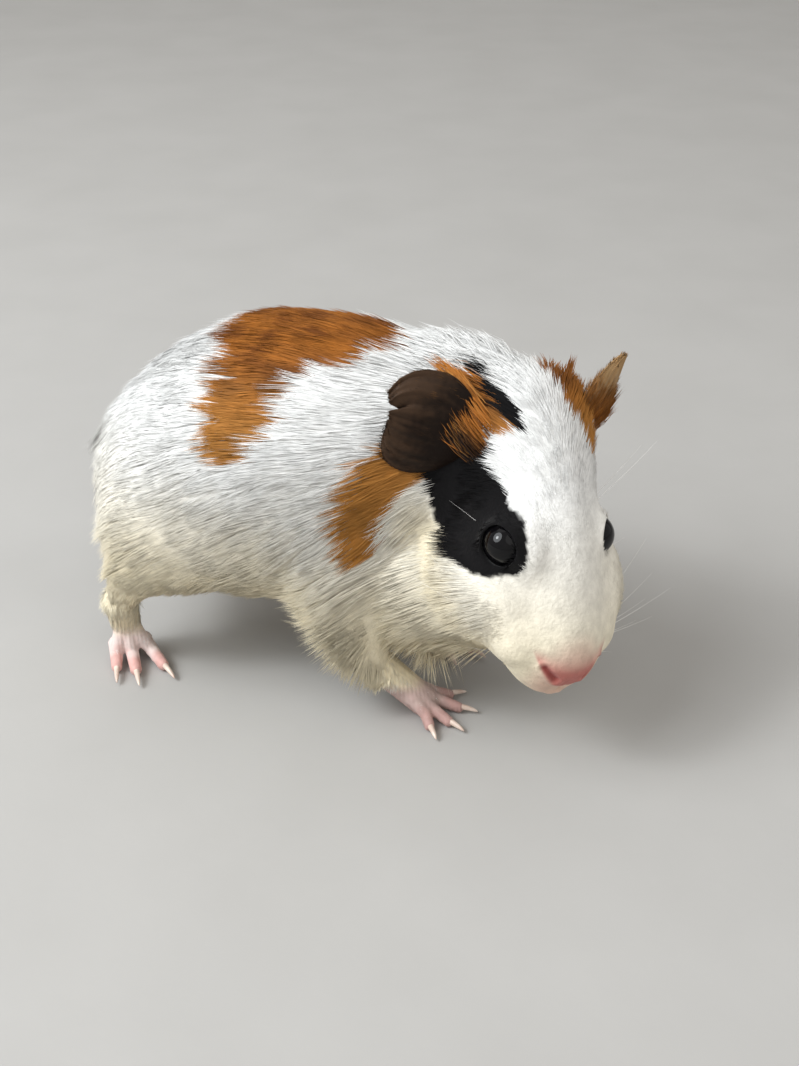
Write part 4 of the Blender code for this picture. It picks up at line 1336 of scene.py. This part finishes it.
def foot_hair(kind, side):
    def density(places, facing):
        height = places[:, 2]
        upper = ramp(0.1, 0.5, facing[:, 2]) * ramp(1.4, 2.6, height)
        return THIN * FOOT_FLEECE[kind] * (np.maximum(upper, ramp(5, 7, height)) + 0.7 * ramp(6, 9, height))

    places, normals = scatter(mesh_arrays(feet[(kind, side)].data), density, 14)
    height = places[:, 2]
    length = np.interp(height, (2, 7, 12), (0.8, 1.4, 2.6))
    to_toes = np.array(level_way(FEET[(kind, side)][2]))
    way = mix(laid_flat(to_toes, normals), laid_flat(np.array((0, 0, -1)), normals), ramp(4.5, 8, height))
    return grow_coat(f"coat_{kind}foot_{SIDE_NAMES[side]}", (places, normals), 401, length, 10, 0.14, way,
                     ankle_colour, droop=0.05, locks=0.2, lean=0.2, stray=0.05, tone=(0.03, 0.04))


for key in FEET:
    foot_hair(*key)

# %% Hair on the ears
EAR_HAIR_DENSITY = 4.2
DARK_EAR_HAIR = np.array((0.016, 0.009, 0.006))
BROWN_EAR_HAIR = np.array((0.075, 0.040, 0.022))
RUSTY_EAR_HAIR = np.array((0.20, 0.095, 0.035))
SANDY_EAR_HAIR = np.array((0.62, 0.38, 0.17))


def ear_hair(side):
    root, along, outward, _ = (np.array(vector) for vector in ear_frame(side))

    def reach(places):
        return (places - root) @ outward / EAR_REACH[side]

    def density(places, _):
        return THIN * EAR_HAIR_DENSITY * ramp(-0.1, 0.1, reach(places))

    def colour(places):
        tuft = ramp(-0.3, 0.3, noise_at(places, 1.6, 6))
        if side == RIGHT:
            front = ramp(0.1, 0.7, (places - root) @ along / EAR_HALF_WIDTH)
            return mix(DARK_EAR_HAIR, mix(BROWN_EAR_HAIR, RUSTY_EAR_HAIR, front), tuft)
        base = mix(GINGER, SANDY_EAR_HAIR, ramp(0.2, 0.9, reach(places)))
        return mix(base, DARK_GINGER, 0.35 * tuft)

    places, normals = scatter(mesh_arrays(ears[side].data), density, 15)
    base_tuft = ramp(0.6, 0.1, reach(places)) * (side == LEFT)
    length = 2.3 - 1.3 * ramp(0.45, 0.9, reach(places)) + 3.4 * base_tuft
    return grow_coat(f"ear_hair_{SIDE_NAMES[side]}", (places, normals), 501, length, 11 + 16 * base_tuft,
                     0.11 + 0.06 * base_tuft, laid_flat(outward, normals), colour, EAR_SLOT[side],
                     locks=0.12, lean=0.35, stray=0.05, tone=(0.12, 0.12), root_shade=0.8)


for side in SIDES:
    ear_hair(side)

# %% [markdown]
# ## Whiskers
# Stiff white whiskers spring in rows from the pads beside the nose. Each is a thin tapering tube
# on a gentle curve. Both sides carry them, kept short enough to stay within the model's size.

# %% Whiskers
WHISKER_RADIUS = 0.055
WHISKER_BEND = 0.12
WHISKER_DROOP = 0.10
WHISKER_TAPER = 0.82
THICK_FROM = 14
# Root in the head's axes, direction in them, and length in millimetres.
WHISKERS = (
    ((16, 7.6, -9), (-0.25, 1.00, 0.20), 20),
    ((14.5, 8.4, -10), (-0.45, 1.00, 0.02), 21),
    ((16.5, 7.2, -10.2), (-0.12, 1.00, 0.04), 16),
    ((16, 7.4, -11.5), (-0.20, 1.00, -0.22), 17),
    ((13, 9, -12), (-0.60, 0.95, -0.30), 19),
    ((15.5, 7.2, -13), (-0.25, 0.85, -0.60), 13),
    ((17.2, 6.4, -12.4), (0.05, 0.90, -0.35), 10),
    ((12, 9.2, -9), (-0.70, 1.00, 0.30), 20),
    ((13.8, 8.8, -13.6), (-0.50, 0.80, -0.62), 12),
    ((10.5, 9.6, -11), (-0.80, 1.00, 0.05), 17),
    ((15, 8, -11), (-0.30, 1.00, -0.10), 19),
)
BROW_WHISKERS = {
    RIGHT: (((-5.8, 13.2, -1), (-0.66, 0.74, -0.11), 6),),
    LEFT: (((-4, 8.6, 5.2), (-0.40, 0.80, 0.42), 17), ((-5.2, 8.8, 4.2), (-0.45, 0.80, 0.22), 16),
           ((3, 9.4, -3), (-0.25, 0.95, 0.10), 9), ((3.5, 9.6, -5), (-0.25, 0.95, -0.15), 9)),
}
# How much farther back the whiskers of the right side lie, over the cheek that faces the camera.
LAID_BACK = {RIGHT: (-0.75, 0, -0.25), LEFT: (0, 0, 0)}


def make_whiskers(side):
    parts = np.linspace(0, 1, 16)
    bm = bmesh.new()
    for root, way, length in WHISKERS + BROW_WHISKERS[side]:
        base = np.array(in_head(root, side))
        direction = np.array(head_direction(Vector(way) + Vector(LAID_BACK[side]), side))
        path = base + direction * (parts * length)[:, None]
        path = path - np.array(FORWARD) * (WHISKER_BEND * length * parts ** 2)[:, None]
        path[:, 2] -= WHISKER_DROOP * length * parts ** 2
        radii = WHISKER_RADIUS * min(1, length / THICK_FROM) * (1 - WHISKER_TAPER * parts)
        bm.from_mesh(tube_mesh("whisker", path, radii, 6))
    return add_piece(f"whiskers_{SIDE_NAMES[side]}", from_bmesh(bm, "whiskers"), "coat", WHISKER)


whiskers = [make_whiskers(side) for side in SIDES]
print("whiskers", [len(whisker.data.polygons) for whisker in whiskers])

# %% [markdown]
# ## Floor and light
# A pale sheet that curves up behind the animal stands for the studio. A large soft light on the
# animal's right keeps the shadows between the tufts faint, and a small one in the same direction
# puts the bright spot high in the eye, where the photograph has it. Two weak ones fill from above
# and from the left.


# %% Floor
FLOOR_REACH = 1.6
FLOOR_BEND = 0.9
BEND_RADIUS = 0.5
WALL_HEIGHT = 1.2
FLOOR_HALF_WIDTH = 2.4


def make_floor():
    bm = bmesh.new()
    profile = [(-FLOOR_REACH, 0), (FLOOR_BEND, 0)]
    profile += [(FLOOR_BEND + BEND_RADIUS * math.sin(angle), BEND_RADIUS - BEND_RADIUS * math.cos(angle))
                for angle in np.linspace(0.1, math.pi / 2, 12)]
    profile.append((FLOOR_BEND + BEND_RADIUS, WALL_HEIGHT))
    rows = [[bm.verts.new((x, y, z)) for x in (-FLOOR_HALF_WIDTH, FLOOR_HALF_WIDTH)] for y, z in profile]
    for low, high in zip(rows, rows[1:]):
        bm.faces.new((low[0], low[1], high[1], high[0]))
    floor = add_object("studio_floor", from_bmesh(bm, "floor"))
    floor.rotation_euler = (0, 0, CAMERA_AZIMUTH)
    paper = mottled_material("studio_paper", (0.40, 0.39, 0.375), (0.42, 0.41, 0.395), 0.8, 30,
                             (400, 0.00005), 0.2)
    floor.data.materials.append(paper)


make_floor()


# %% Lights
def add_light(name, place, size, power, colour):
    data = bpy.data.lights.new(name, "AREA")
    data.shape = "DISK"
    data.size = size
    data.energy = power
    data.color = colour
    light = add_object(name, data)
    light.location = place
    light.rotation_euler = (-Vector(place)).to_track_quat("-Z", "Y").to_euler()


add_light("window", (-0.48, -0.42, 0.67), 0.72, 7.8, (0.93, 0.97, 1))
add_light("window_core", (-0.47, -0.41, 0.66), 0.20, 2.2, (0.95, 0.98, 1))
add_light("sky", (-0.35, 0.45, 1.20), 1.4, 2.6, (1, 0.99, 0.97))
add_light("fill", (0.75, -0.50, 0.95), 1.4, 2.8, (1, 0.98, 0.94))
world = bpy.data.worlds.new("studio")
world.use_nodes = True
set_inputs(world.node_tree.nodes["Background"], {"Color": (1, 0.985, 0.96, 1), "Strength": 0.56})
bpy.context.scene.world = world
bpy.context.scene.view_settings.view_transform = "Standard"
print("lights", len(bpy.data.lights))
